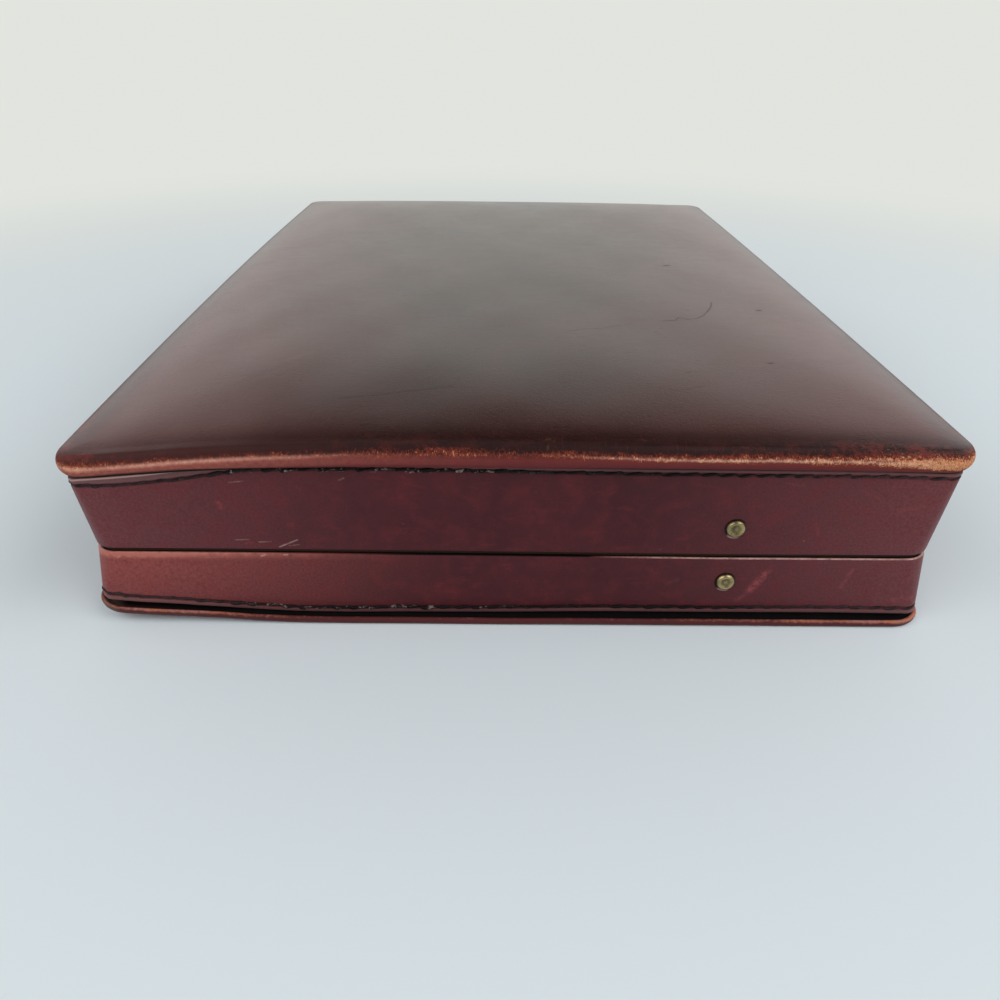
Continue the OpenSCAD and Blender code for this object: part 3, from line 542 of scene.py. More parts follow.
# Marks on the top, by x and y: the first of the hairs is the crack, and each has its strength
topMarks = {
    "hairs": [([(71.5, -106), (78.3, -105), (80.5, -101), (84.8, -103.5), (89.5, -102), (93.4, -97.5),
                (97.6, -89.5), (100.8, -82), (102.8, -74.5)], 0.5),
              ([(26, -122), (34, -118.5), (43, -117), (50, -112.4), (58, -110)], 0.3),
              ([(-66, -196.4), (-52, -193.6), (-40, -190.2), (-24, -186.4)], 0.45),
              ([(56, -186), (62, -188.5), (68, -186.8), (75, -183.4)], 0.3)],
    "hairWidth": 0.75,
    "spots": [(92.6, -1.4, 2.6, 0.4), (123.5, -84.9, 1.7, 0.5), (107.2, -159, 1.2, 0.5),
              (70, -171, 1.0, 0.3), (-60, 70, 1.3, 0.2), (48, -150, 1.0, 0.25)],  # x, y, size, strength
    "strokes": 0.12,
}


def topLeather(name):
    look = topLook
    coat = Coat(name, {"Specular IOR Level": 0.25, "IOR": 1.5})
    place = coat.place
    run = coat.run()
    crest = coat.value("crest")
    wide = coat.value("wide")
    soft = coat.value("soft")
    grimeAndShade = coat.value("grimeAndShade")
    broad = coat.noise(place, 90, 3.0, 0.55).ease(0.3, 0.7)
    patch = coat.noise(place, 12, 4.0, 0.6).ease(0.35, 0.75)
    fleck = coat.noise(place, 0.9, 4.0, 0.7).ease(0.3, 0.75)
    colour = broad.mix(look["deep"], look["middle"])
    # redder towards both long edges
    edges = abs(place.part("X")).ease(0.02, 0.168) * (0.75 + 0.3 * (coat.noise(place, 40, 3.0) - 0.5))
    colour = edges.mix(colour, look["side"])
    colour = (patch * 0.10).mix(colour, look["side"])
    colour = (fleck * 0.2).mix(colour, look["dark"])
    brushed = coat.noise(place.scaled(0.08, 1.0), 1.4, 4.0, 0.7)
    colour = (brushed.ease(0.45, 0.75) * 0.2).mix(colour, look["middle"])
    # painted shade just above the worn line, and a redder face under it
    above = crest.ease(0.0, 1.0) * (1 - crest.ease(5.0, 20.0))
    colour = (above * (0.95 - 0.45 * soft)).mix(colour, look["shade"])
    colour = (coat.value("face") * (0.8 + 0.2 * patch)).mix(colour, look["face"])
    # worn line: rust round tan specks, ochre on the corners
    off = crest.most(0.0) / (0.9 + 2.4 * wide) + (-crest).most(0.0) / (0.5 + 2.0 * wide)
    near = off.bell()
    specks = coat.noise(run.scaled(1.3, 0.5), 0.55, 4.0, 0.8)
    dabs = coat.noise(run.scaled(0.8, 0.8), 1.7, 4.0, 0.75)
    clouds = coat.noise(run.scaled(0.4, 1.0), 9, 3.0, 0.6)
    uneven = 1.05 * coat.value("wear") * near + 2.6 * (specks - 0.5) + 1.8 * (dabs - 0.5)
    worn = uneven + 1.5 * (clouds - 0.5)
    rust = worn.ease(0.05, 0.5) * near.ease(0.02, 0.3)
    bare = worn.ease(0.56, 0.84) * near.ease(0.04, 0.35)
    colour = (rust * 0.85).mix(colour, look["rust"])
    tone = coat.noise(run, 1.3, 4.0, 0.75).ease(0.38, 0.62)
    scraped = tone.mix(look["tan"], look["sand"])
    golden = specks.ease(0.42, 0.6).mix(look["ochre"], look["gold"])
    colour = bare.mix(colour, (wide.ease(0.8, 1.25) * 0.8).mix(scraped, golden))
    # towards the left corner the whole face under the line is rubbed, with a painted highlight along it
    under = (-crest).ease(-0.3, 0.7) * (1 - (-crest).ease(3.4, 5.0)) * soft
    colour = (under * (0.62 + 1.6 * (dabs - 0.5))).least(0.85).most(0.0).mix(colour, look["rubbedAndLit"])
    # a fine pale line where the edge is sharpest
    thin = (crest / (0.42 + 0.28 * soft)).bell() * coat.value("line")
    broken = 1.8 * (dabs - 0.5) + 3.0 * (1 - soft) * (specks - 0.5)
    colour = (thin * (0.8 + broken)).most(0.0).mix(colour, soft.mix(look["line"], look["lineLeft"]))
    # stray specks and red blotches on the shoulder above the line
    shoulder = crest.ease(1.0, 3.0) * (1 - crest.ease(5.0, 12.0)) * wide.ease(0.2, 0.8)
    stray = coat.noise(place, 0.75, 3.0, 0.75).ease(0.58, 0.68) * clouds.ease(0.42, 0.6)
    colour = (stray * shoulder * 0.75).mix(colour, look["tan"])
    blotch = coat.noise(place, 6, 4.0, 0.75).ease(0.46, 0.6) * shoulder
    colour = (blotch * 0.7).mix(colour, look["blotch"])
    colour, dull = markTop(coat, colour)
    # painted shade in the crease under the roll and on the tucked-in leather
    colour = grimeAndShade.mix(colour, look["dark"])
    edge = 1 - crest.ease(2.0, 7.0)
    rough = 0.27 + 0.02 * patch + 0.10 * (brushed - 0.3) + 0.52 * edge + 0.2 * grimeAndShade + 0.4 * dull
    return coat.finish(colour, rough, leatherGrain(coat, 0.10, 0.05) + [(brushed, 0.012), (bare, -0.05)])


def markTop(coat, colour):
    flat = coat.place.scaled(1.0, 1.0, 0.0)
    broken = coat.noise(flat, 3.2, 4.0, 0.7).ease(0.36, 0.56)
    dull = None
    for line, amount in topMarks["hairs"]:
        for first, last in zip(line, line[1:]):
            mark = streak(coat, flat, (*first, 0), (*last, 0), topMarks["hairWidth"], 0.0) * amount
            dull = mark if dull is None else dull.most(mark)
    dull = dull * (0.35 + 0.65 * broken)
    for x, y, size, amount in topMarks["spots"]:
        dull = dull.most(streak(coat, flat, (x, y, 0), (x + 1.6, y + 0.5, 0), size, 0.0) * amount)
    colour = (dull * 0.8).mix(colour, topLook["dark"])
    # hair-fine curved strokes over the shoulder, right of the middle of the front
    field = coat.noise(flat.scaled(1.0, 0.22), 3.4, 0.0, 0.5, 0.2)
    strokes = 1 - abs(field - 0.5).ease(0.004, 0.020)
    thin = coat.noise(flat, 3, 3.0, 0.7).ease(0.48, 0.62)
    x = flat.part("X")
    y = flat.part("Y")
    zone = y.ease(-0.2290, -0.2275) * (1 - y.ease(-0.2245, -0.2190))
    zone = zone * x.ease(0.002, 0.014) * (1 - x.ease(0.056, 0.07))
    colour = (strokes * thin * zone * topMarks["strokes"]).mix(colour, topLook["tan"])
    return colour, dull


def threadCoat():
    coat = Coat("waxedThread", {"Specular IOR Level": 0.15})
    place = coat.place
    twist = place.node("ShaderNodeTexWave", {"wave_type": "BANDS", "bands_direction": "DIAGONAL"}, {
        "Vector": place, "Scale": 520.0, "Distortion": 0.6})
    dust = coat.noise(place, 4, 5.0, 0.8).ease(0.53, 0.64)
    colour = (0.3 * twist).mix(rgb(6, 4, 4), rgb(24, 18, 18))
    faded = abs(place.part("X")).ease(0.07, 0.14) * coat.noise(place, 3, 3.0, 0.6).ease(0.2, 0.6)
    colour = (faded * 0.5).mix(colour, rgb(72, 54, 56))
    colour = (dust * coat.value("dust") * 0.8).mix(colour, rgb(160, 144, 140))
    return coat.finish(colour, 0.6 + 0.2 * dust, [(twist, 0.06)])


lidWallCoat = wallLeather("wallLeatherLid", lidWallMarks)
baseWallCoat = wallLeather("wallLeatherBase", baseWallMarks)
topCoat = topLeather("topLeather")
threadMaterial = threadCoat()
print("leathers and thread made")


# Top of the lid: leather over padding, wrapped round the edge
lidTop = {
    "nose": 24,
    "corner": 7,
    "shoulder": 1.5,
    "shoulderReach": 9,
    "crownRings": [1.0, 2.4, 4.4, 6.6, 9.2, 12.4, 16.2, 20.8, 26.4, 33, 41, 50, 60, 71, 83, 96, 110, 125,
                   141],
    "leather": 1.9,
    "tuck": 1.7,
    "seamLift": 0.7,
    "seamFade": 40,
}
# How worn the edge is along the front, by x, and away from the front: how much, how wide, how much of a pale
# line, how much rubbed under it (partly a painted highlight), and at what angle round the roll. Then where
# the painted shade of the crease begins, in degrees, and how dark it is.
edgeWear = {
    "x": [-165, -152, -138, -115, -100, -77, -60, -45, 0, 13, 30, 48, 66, 84, 102, 120, 138, 152, 165],
    "wear": [0.8, 0.62, 0.45, 0.4, 0.36, 0.32, 0.36, 0.33, 0.32, 0.44, 0.46, 0.48, 0.56, 0.6, 0.68, 0.8,
             0.92, 1.0, 1.0],
    "wide": [1.2, 0.9, 0.35, 0.3, 0.25, 0.25, 0.4, 0.4, 0.35, 0.3, 0.3, 0.3, 0.35, 0.4, 0.45, 0.6, 0.85,
             1.15, 1.3],
    "line": [0.3, 0.75, 0.95, 0.95, 0.8, 0.4, 0.1, 0, 0, 0, 0.2, 0.4, 0.6, 0.65, 0.5, 0.45, 0.3, 0, 0],
    "soft": [1, 1, 1, 1, 0.9, 0.7, 0.5, 0.3, 0, 0, 0, 0, 0, 0, 0, 0, 0, 0, 0],
    "crest": [2, 4, 5, 8, 10, 13, 19, 24, 24, 20, 12, 6, 1, 4, 4, 7, 1, 0, 0],
    "creaseFrom": [-38, -30, -24, -24, -34, -50] + [-56] * 13,
    "creaseDark": [1, 1, 1, 1, 1, 0.9, 0.8, 0.8, 0.8, 0.7, 0.6, 0.5, 0.4, 0.35, 0.3, 0.25, 0.2, 0.2, 0.3],
    "elsewhere": {"line": 0.2, "soft": 0.3, "crest": 8, "creaseFrom": -50, "creaseDark": 0.6},
}


def bow(x, y):
    reachX = case["width"] / 2 + case["rollOffset"]
    reachY = case["length"] / 2 + case["rollOffset"]
    across = np.minimum(np.abs(x) / reachX, 1) ** 2 * np.minimum(np.abs(y) / reachY, 1) ** 2
    return case["rollBow"] * (1 - across)


def crown(x, y):
    # a soft crown, with a rounder shoulder close to the edge
    def ramp(inset):
        share = np.clip(inset / case["crownReach"], 0, 1)
        return 1 - (1 - share) ** 2.3

    def shoulder(inset):
        return 1 - np.exp(-np.maximum(inset, 0) / lidTop["shoulderReach"])

    insetX = case["width"] / 2 + case["rollOffset"] - np.abs(x)
    insetY = case["length"] / 2 + case["rollOffset"] - np.abs(y)
    low = lidTop["shoulder"]
    return (case["crown"] - low) * ramp(insetX) * ramp(insetY) + low * shoulder(insetX) * shoulder(insetY)


def unevenness(x, y):  # the padding isn't quite even
    return (0.22 * np.sin(x / 31 + 1.3) * np.sin(y / 43 + 0.4) + 0.12 * np.sin(x / 13 + y / 19)
            + 0.08 * np.sin(x / 9 - y / 15 + 2))


def lidTopHeight(x, y, low=0.0):
    top = case["rollZ"] + case["rollRadius"]
    inset = np.minimum(case["width"] / 2 - np.abs(x), case["length"] / 2 - np.abs(y))
    soft = np.clip(inset / 25, 0, 1)
    return top + bow(x, y) + crown(x, y) + unevenness(x, y) * soft + slump(lidSlump, "roll", x, y) - low


def crownRing(out, low=0.0, corner=None, ceiling=math.inf):  # a ring, low mm under the top's surface
    xy = ringPoints(out, corner)[0]
    return np.column_stack([xy, np.minimum(lidTopHeight(*xy.T, low), ceiling)])


def smoothRound(numbers, times):
    for _ in range(times):
        numbers = (np.roll(numbers, 1) + 2 * numbers + np.roll(numbers, -1)) / 4
    return numbers


rollSlump = slump(lidSlump, "roll", outX, outY)
seamSlump = slump(lidSlump, "edge", outX, outY)
seamLift = lidTop["seamLift"] * bow(outX, outY) / case["rollBow"] * fadeBack(outY, lidTop["seamFade"])


def makeLidTop():
    rings = []
    across = []
    kept = {"crest": [], "face": [], "grimeAndShade": []}
    radius = case["rollRadius"]
    corner = lidTop["corner"]
    offset = case["rollOffset"]

    def add(points, crest, face=0, grimeAndShade=0):
        hop = float(np.median(np.linalg.norm(points - rings[-1], axis=1))) if rings else 0.0
        across.append(across[-1] + hop if rings else hop)
        rings.append(points)
        for key, numbers in (("crest", crest), ("face", face), ("grimeAndShade", grimeAndShade)):
            kept[key].append(np.broadcast_to(numbers, len(points)))

    front = outY < -case["length"] / 2 + 12
    elsewhere = dict(edgeWear["elsewhere"])
    waves = 0.08 * np.sin(outY / 17) + 0.06 * np.sin(outX / 11 + outY / 23)
    elsewhere["wear"] = np.clip(0.40 + 0.40 * nearCorners(26) + waves, 0, 1)
    elsewhere["wide"] = 0.35 + 0.7 * nearCorners(26)
    worn = {key: smoothRound(np.where(front, np.interp(outX, edgeWear["x"], edgeWear[key]), numbers), 3)
            for key, numbers in elsewhere.items()}

    # from the middle of the top out to the shoulder
    middle = case["width"] / 2 + offset
    for inset in [middle] + lidTop["crownRings"][::-1]:
        add(crownRing(offset - inset, corner=corner), np.radians(90 - worn["crest"]) * radius + inset)
    # round the nose, from nearly straight up to nearly straight down
    for degrees in np.linspace(78, -85, lidTop["nose"]):
        angle = math.radians(degrees)
        share = (1 + math.sin(angle)) / 2
        late = min(max((-62 - degrees) / 22, 0), 1)
        z = (case["rollZ"] + radius * math.sin(angle) + bow(outX, outY) * share + rollSlump
             + (seamSlump - rollSlump) * late + (1 - share) * seamLift)
        face = min(max((22 - degrees) / 22, 0), 1)
        # painted shade in the crease under the roll
        grimeAndShade = np.clip((worn["creaseFrom"] - degrees) / 8, 0, 1) * 0.98 * worn["creaseDark"]
        crest = np.radians(degrees - worn["crest"]) * radius
        add(ringAt(offset + radius * math.cos(angle), z, corner), crest, face, grimeAndShade)
    # tucked in over the wall's edge and the frame, and back inside, darkened as painted shade
    seamZ = case["lidTop"] + 0.12 + seamSlump + seamLift
    tuck = lidTop["tuck"]
    for out, height in [(-1.0, seamZ), (-tuck, seamZ), (-tuck, 69.4), (-tuck - 0.1, 70.4)]:
        add(ringAt(out, height, corner), -20, grimeAndShade=0.9)
    inner = radius - lidTop["leather"]
    for degrees in (-60, -30, 0, 30, 60):
        angle = math.radians(degrees)
        share = (1 + math.sin(angle)) / 2
        z = (case["rollZ"] + inner * math.sin(angle) + bow(outX, outY) * share + rollSlump * share
             + seamSlump * (1 - share) * 0.6)
        add(ringAt(offset + inner * math.cos(angle), z, corner), -20, grimeAndShade=0.9)
    for inset in lidTop["crownRings"][::3] + [middle]:
        add(crownRing(offset - inset, lidTop["leather"], corner), 99)
    values = {key: np.array(numbers) for key, numbers in kept.items()}
    values.update({key: np.tile(worn[key], (len(rings), 1)) for key in ("wear", "wide", "line", "soft")})
    piece = sweep("lidTopLeather", rings, across, False, values)
    settle(piece, topCoat, "lid", "lid_panel")


makeLidTop()
print("top of the lid made")


# Walls: a closed profile swept round, with rounded cut edges and a groove under the stitches
wallShape = {
    "groove": 0.35,
    "grooveHalf": 1.0,
    "stitchInset": 2.2,
    "sharpen": 5.0,
    "flare": 1.3,
    "flareReach": 22,
    "lidGap": 0.42,
    "baseGap": 0.3,
    "hingeGap": 0.12,
    "baseEdge": 4.1,
}
# offset, and height from the edge
roundedEdge = [(-1.1, 0), (-0.55, 0.02), (-0.2, 0.16), (-0.04, 0.42), (0, 0.8)]


def wallProfile(low, high, stitch, above):
    # outer side from the lower edge to the upper one, as (offset, height), then back down inside
    half = wallShape["grooveHalf"]
    deep = wallShape["groove"]
    groove = [(0, -half - 0.3), (-0.06, -half), (-deep * 0.75, -half * 0.45), (-deep, 0),
              (-deep * 0.75, half * 0.45), (-0.06, half), (0, half + 0.25)]
    groove = [(out, stitch + h) for out, h in groove]
    bottom, top = (low + 0.8, groove[0][1]) if above else (groove[-1][1], high - 0.8)
    count = 7
    plain = [(0, bottom + (top - bottom) * i / count) for i in range(1, count)]
    inner = -case["wallThick"] + 0.02
    return ([(out, low + h) for out, h in roundedEdge] + (plain + groove if above else groove + plain)
            + [(out, high - h) for out, h in roundedEdge[::-1]]
            + [(inner, high - 0.1), (inner, (low + high) / 2), (inner, low + 0.1)])


def makeWall(name, node, body, coat, low, high, stitch, above, kept):
    rings = []
    table = np.array([wallProfile(*row, above) for row in zip(low, high, stitch)])
    count = table.shape[1]  # table is outline point, station, (offset, height)
    middle = table[len(outX) // 3]
    hops = np.hypot(*(np.roll(middle, -1, axis=0) - middle).T)
    across = np.concatenate([[0], np.cumsum(hops)])
    marks = {"parting": [], "stitch": [], "seam": []}
    for i in range(count):
        # corners are sharper at the seam than at the parting, and the leather flares a little there
        offsets, heights = table[:, i].T
        share = np.clip((heights - low) / (high - low), 0, 1)
        share = np.median(share if above else 1 - share)
        xy, way = ringPoints(0, case["corner"] - wallShape["sharpen"] * share)
        out = offsets + flareOut * share
        rings.append(np.column_stack([xy + way * out[:, None], heights]))
        # how far each point is from the wall's edges, along the leather near an edge
        fromLow = np.full(len(outX), across[i]) if i < 6 else heights - low + 0.9
        fromHigh = high - heights + 0.9
        if count - 9 < i < count - 3:
            fromHigh = np.full(len(outX), across[count - 4] - across[i])
        if i >= count - 3:
            fromLow = fromHigh = np.zeros(len(outX))
        marks["parting"].append(fromLow if above else fromHigh)
        marks["stitch"].append((heights - stitch) * (1 if above else -1))
        marks["seam"].append(high - heights if above else heights - low)
    values = {key: np.array(numbers) for key, numbers in marks.items()}
    for key, amount in kept.items():
        values[key] = np.array([amount(outX, outY, table[:, i, 1]) for i in range(count)])
    piece = sweep(name, rings, across, True, values)
    settle(piece, coat, body, node)


atFrontLeft = np.interp(outX, [-160, -140, -120, -100], [0, 1.1, 1.0, 0]) * (outY < -224)
flareOut = wallShape["flare"] * nearCorners(wallShape["flareReach"], 0) + atFrontLeft
sag = slump(partingSag, "low", outX, outY)
inset = wallShape["stitchInset"]
lidEdge = case["lidTop"] + seamSlump + seamLift
lidStitch = case["lidTop"] + slump(lidSlump, "stitch", outX, outY, -inset) + seamLift
lidLow = case["lidBottom"] + wallShape["lidGap"] + sag
baseHigh = case["baseTop"] - wallShape["baseGap"] - wallShape["hingeGap"] * onHinge + sag
baseEdge = wallShape["baseEdge"] + slump(baseSlump, "edge", outX, outY)
baseStitch = wallShape["baseEdge"] + slump(baseSlump, "stitch", outX, outY, inset + 0.1)


def endSheen(x, y, z):  # painted sheen, paler towards both corners of each end
    onEnd = 0.54 * np.clip((np.abs(x) - 40) / 115, 0, 1) ** 1.25
    onSide = 0.22 + 0.28 * np.clip((np.abs(y) - 130) / 95, 0, 1) ** 2
    return np.where(np.abs(y) > 220, onEnd, onSide)


# warmer on the left of the base's front, and more towards its rounded top, where it is a painted highlight
def baseWarm(x, y, z):
    left = np.clip((-20 - x) / 120, 0, 1) ** 1.2 * fadeBack(y, 60)
    high = np.clip((z - 4) / 20, 0, 1)
    return left * (0.4 + 0.4 * high)


# how pale the base's edge at the parting is: worn, with a painted highlight, most towards the right
def baseRubbedAndLit(x, y, z):
    atFront = np.interp(x, [-165, -150, -100, -80, 30, 55, 80, 150, 165],
                        [0.5, 0.25, 0.1, 0, 0, 0.7, 1, 1, 0.9])
    return np.where(y < -215, atFront, 0.45)


def lidShown(x, y, z):
    return np.interp(x, [-165, -155, -145, -118, -104, -95], [0.3, 0.6, 1, 1, 0.4, 0]) * (y < -220)


def nothing(x, y, z):
    return np.zeros(len(x))


makeWall("lidWallLeather", "lid_wall", "lid", lidWallCoat, lidLow, lidEdge, lidStitch, True,
         {"paintedSheen": endSheen, "warm": nothing, "rubbedAndLit": nothing, "shown": lidShown})
makeWall("baseWallLeather", "base_wall", "base", baseWallCoat, baseEdge, baseHigh, baseStitch, False,
         {"paintedSheen": endSheen, "warm": baseWarm, "rubbedAndLit": baseRubbedAndLit, "shown": nothing})
print("walls made")


# Underside with the folded lip: the leather curls up round the edge, with a channel beside the wall
lip = {
    "riseReach": 34,
    "board": 9.9,  # this height in the profile follows the wall's lower edge
    "frontX": [-165, -125, -110, -98, -80, 20, 60, 85, 110, 140, 165],
    "frontWear": [0.66, 0.72, 0.6, 0.44, 0.3, 0.24, 0.32, 0.44, 0.54, 0.72, 0.95],
    # from the leather's inner side over the board, up beside the frame, down into the channel, round the lip
    # and in under the case, as (offset, height)
    "profile": [
        (-160, 1.9), (-60, 1.9), (-12, 1.9), (-6.1, 1.95), (-5.9, 2.05), (-5.85, 3.7), (-1.79, 3.75),
        (-1.76, 9.9), (-1.2, 9.9), (-0.85, 2.3), (0.5, 1.6), (1.2, 1.45), (1.9, 1.8),
        (2.4, 2.5), (2.75, 2.95), (3.2, 3.24), (3.65, 3.27), (4.05, 3.08), (4.3, 2.68), (4.4, 2.15),
        (4.35, 1.6), (4.15, 0.95), (3.8, 0.45), (3.3, 0.15), (2.6, 0.02), (1.2, 0), (-3, 0), (-9, 0),
        (-16, 0), (-26, 0), (-40, 0), (-70, 0), (-110, 0), (-160, 0)],
}
lipLook = {
    "deep": rgb(80, 34, 34),
    "middle": rgb(104, 46, 43),
    "patch": rgb(122, 56, 50),
    "face": rgb(75, 29, 31),
    "worn": rgb(170, 112, 102),
    "tan": rgb(176, 108, 84),
    "drag": rgb(150, 110, 96),
    "grimeAndShade": rgb(4, 2, 2),
    "dust": rgb(84, 72, 62),
}


def makeUnderside():
    rings = []
    kept = {"wear": [], "face": [], "grimeAndShade": []}
    across = [0.0]
    wornFront = np.interp(outX, lip["frontX"], lip["frontWear"])
    wornElse = 0.42 + 0.4 * nearCorners(20) + 0.12 * np.sin(outlineRun[:-1] / 21)
    amount = smoothRound(np.where(outY < -215, wornFront, wornElse), 3)
    cornerDust = np.exp(-((outX + 160) ** 2 + (outY + 225) ** 2) / 20 ** 2)
    widest = max(out for out, z in lip["profile"])
    before = lip["profile"][0]
    for out, z in lip["profile"]:
        xy = ringPoints(out)[0]
        hold = np.clip((out + lip["riseReach"]) / (lip["riseReach"] + widest), 0, 1) ** 2.6
        rise = slump(baseSlump, "lip", *xy.T) * hold
        height = np.maximum(baseEdge + 0.35, 3.8) if z == lip["board"] else np.maximum(z + rise, 0)
        rings.append(ringAt(out, height))
        across.append(across[-1] + math.hypot(out - before[0], z - before[1]))
        before = (out, z)
        outer = math.exp(-(math.hypot(out - 3.8, z - 3.1) / 1.2) ** 2)
        kept["wear"].append(amount * outer)
        kept["face"].append(np.full(len(outX), 1.0 if out > 2.6 else 0.3))
        # painted shade: the channel beside the wall is near black
        dark = 1.0 if -2 < out < 2.5 and z > 1.2 else 0.0
        dark = 0.55 if 2.5 <= out < 3.0 and z > 2 else dark
        kept["grimeAndShade"].append(dark * (1 - 0.45 * cornerDust * (out > 0)))
    values = {key: np.array(numbers) for key, numbers in kept.items()}
    piece = sweep("baseUnderLeather", rings, across[1:], False, values)
    settle(piece, undersideLeather(), "base", "base_panel")


def undersideLeather():
    look = lipLook
    coat = Coat("baseLeather", {"Specular IOR Level": 0.2, "IOR": 1.5})
    place = coat.place
    run = coat.run()
    wear = coat.value("wear")
    grimeAndShade = coat.value("grimeAndShade")
    patch = coat.noise(place, 16, 4.0, 0.6).ease(0.35, 0.75)
    broad = coat.noise(place, 70, 3.0, 0.55).ease(0.3, 0.7)
    colour = broad.mix(look["deep"], look["middle"])
    colour = (patch * 0.5).mix(colour, look["patch"])
    colour = (coat.value("face") * 0.85).mix(colour, look["face"])
    strokes = coat.noise(run.scaled(0.6, 0.5), 0.9, 5.0, 0.75)
    clouds = coat.noise(run.scaled(0.4, 1.0), 6, 4.0, 0.65)
    tone = coat.noise(run, 11, 3.0, 0.6).ease(0.42, 0.6)
    bare = (wear + (strokes - 0.5) * 1.0 + (clouds - 0.5) * 0.8 - 0.25).ease(0.0, 0.6) * wear.ease(0.02, 0.2)
    colour = (bare * 0.95).mix(colour, tone.mix(look["worn"], look["tan"]))
    # drag marks on the underside, along the case
    drag = coat.noise(place.scaled(1.0, 0.06), 1.8, 4.0, 0.7).ease(0.6, 0.75)
    under = 1 - place.part("Z").ease(0.0002, 0.0009)
    colour = (drag * under * 0.4).mix(colour, look["drag"])
    # painted shade in the channel beside the wall
    colour = grimeAndShade.mix(colour, look["grimeAndShade"])
    # dusty olive brown where the lip stands away from the wall at the left corner
    dusty = 1 - place.vector("DISTANCE", place, (-0.1615, -0.2270, 0.0070), out=1).ease(0.0055, 0.0105)
    colour = (dusty * (1 - 0.8 * bare) * (0.6 + 0.8 * (clouds - 0.5))).mix(colour, look["dust"])
    rough = 0.45 + 0.15 * patch + 0.2 * bare + 0.5 * grimeAndShade
    return coat.finish(colour, rough, leatherGrain(coat))


makeUnderside()
print("underside made")


# Geometry Nodes: a tree with named inputs, and a plain mesh made by it
def newTree(name, sizes, seed, material):
    tree = bpy.data.node_groups.new(name, "GeometryNodeTree")
    face = tree.interface
    face.new_socket("Geometry", in_out="INPUT", socket_type="NodeSocketGeometry")
    for key, size in sizes.items():
        face.new_socket(key, in_out="INPUT", socket_type="NodeSocketFloat").default_value = size
    face.new_socket("Seed", in_out="INPUT", socket_type="NodeSocketInt").default_value = seed
    face.new_socket(material, in_out="INPUT", socket_type="NodeSocketMaterial")
    face.new_socket("Geometry", in_out="OUTPUT", socket_type="NodeSocketGeometry")
    group = tree.nodes.new("NodeGroupInput")

    def given(key):
        return Wire(tree, group.outputs[key])

    return tree, Wire(tree), given


def named(start, key, kind="FLOAT"):  # an attribute of the points
    return start.node("GeometryNodeInputNamedAttribute", {"data_type": kind}, {"Name": key})


def endTree(tree, shape, smooth, material):
    real = shape.node("GeometryNodeRealizeInstances", None, {"Geometry": shape})
    soft = real.node("GeometryNodeSetShadeSmooth", None, {"Geometry": real, "Shade Smooth": smooth})
    done = soft.node("GeometryNodeSetMaterial", None, {"Geometry": soft, "Material": material})
    leave = tree.nodes.new("NodeGroupOutput")
    tree.links.new(done.socket, leave.inputs["Geometry"])
    return tree


def runTree(name, tree, points, edges, vectors, inputs, numbers=None):
    # a mesh of points and edges goes through the tree, and comes back as a plain mesh
    mesh = bpy.data.meshes.new(name + "Line")
    mesh.from_pydata([tuple(p) for p in np.asarray(points) * mm], edges, [])
    for key, value in vectors.items():
        attribute = mesh.attributes.new(key, "FLOAT_VECTOR", "POINT")
        attribute.data.foreach_set("vector", np.asarray(value, np.float32).ravel())
    for key, value in (numbers or {}).items():
        attribute = mesh.attributes.new(key, "FLOAT", "POINT")
        attribute.data.foreach_set("value", np.asarray(value, np.float32).ravel())
    line = addObject(name + "Line", mesh)
    modifier = line.modifiers.new("made", "NODES")
    modifier.node_group = tree
    for item in tree.interface.items_tree:
        if item.in_out == "INPUT" and item.name in inputs:
            modifier[item.identifier] = inputs[item.name]
    result = evaluated(line)
    result.name = name
    piece = addObject(name, result)
    bpy.data.objects.remove(line)
    return piece


def evaluated(made):
    bpy.context.view_layer.update()
    seen = bpy.context.evaluated_depsgraph_get()
    return bpy.data.meshes.new_from_object(made.evaluated_get(seen))


# Stitches: a thread along a line, thick in the middle of each stitch and sunk at its ends
wallThread = {  # in metres, apart from how uneven the stitches are
    "Pitch": 0.0068,
    "Step": 0.0008,
    "Width": 0.00108,
    "Rise": 0.0006,
    "Slant": 0.0009,
    "Scatter": 0.35,
}
gripThread = {"Pitch": 0.0042, "Step": 0.0005, "Width": 0.0009, "Rise": 0.0007, "Slant": 0.0}
pocketThread = {"Pitch": 0.0046, "Step": 0.0006, "Width": 0.0008, "Rise": 0.0006, "Slant": 0.0003}
threadSeed = 5


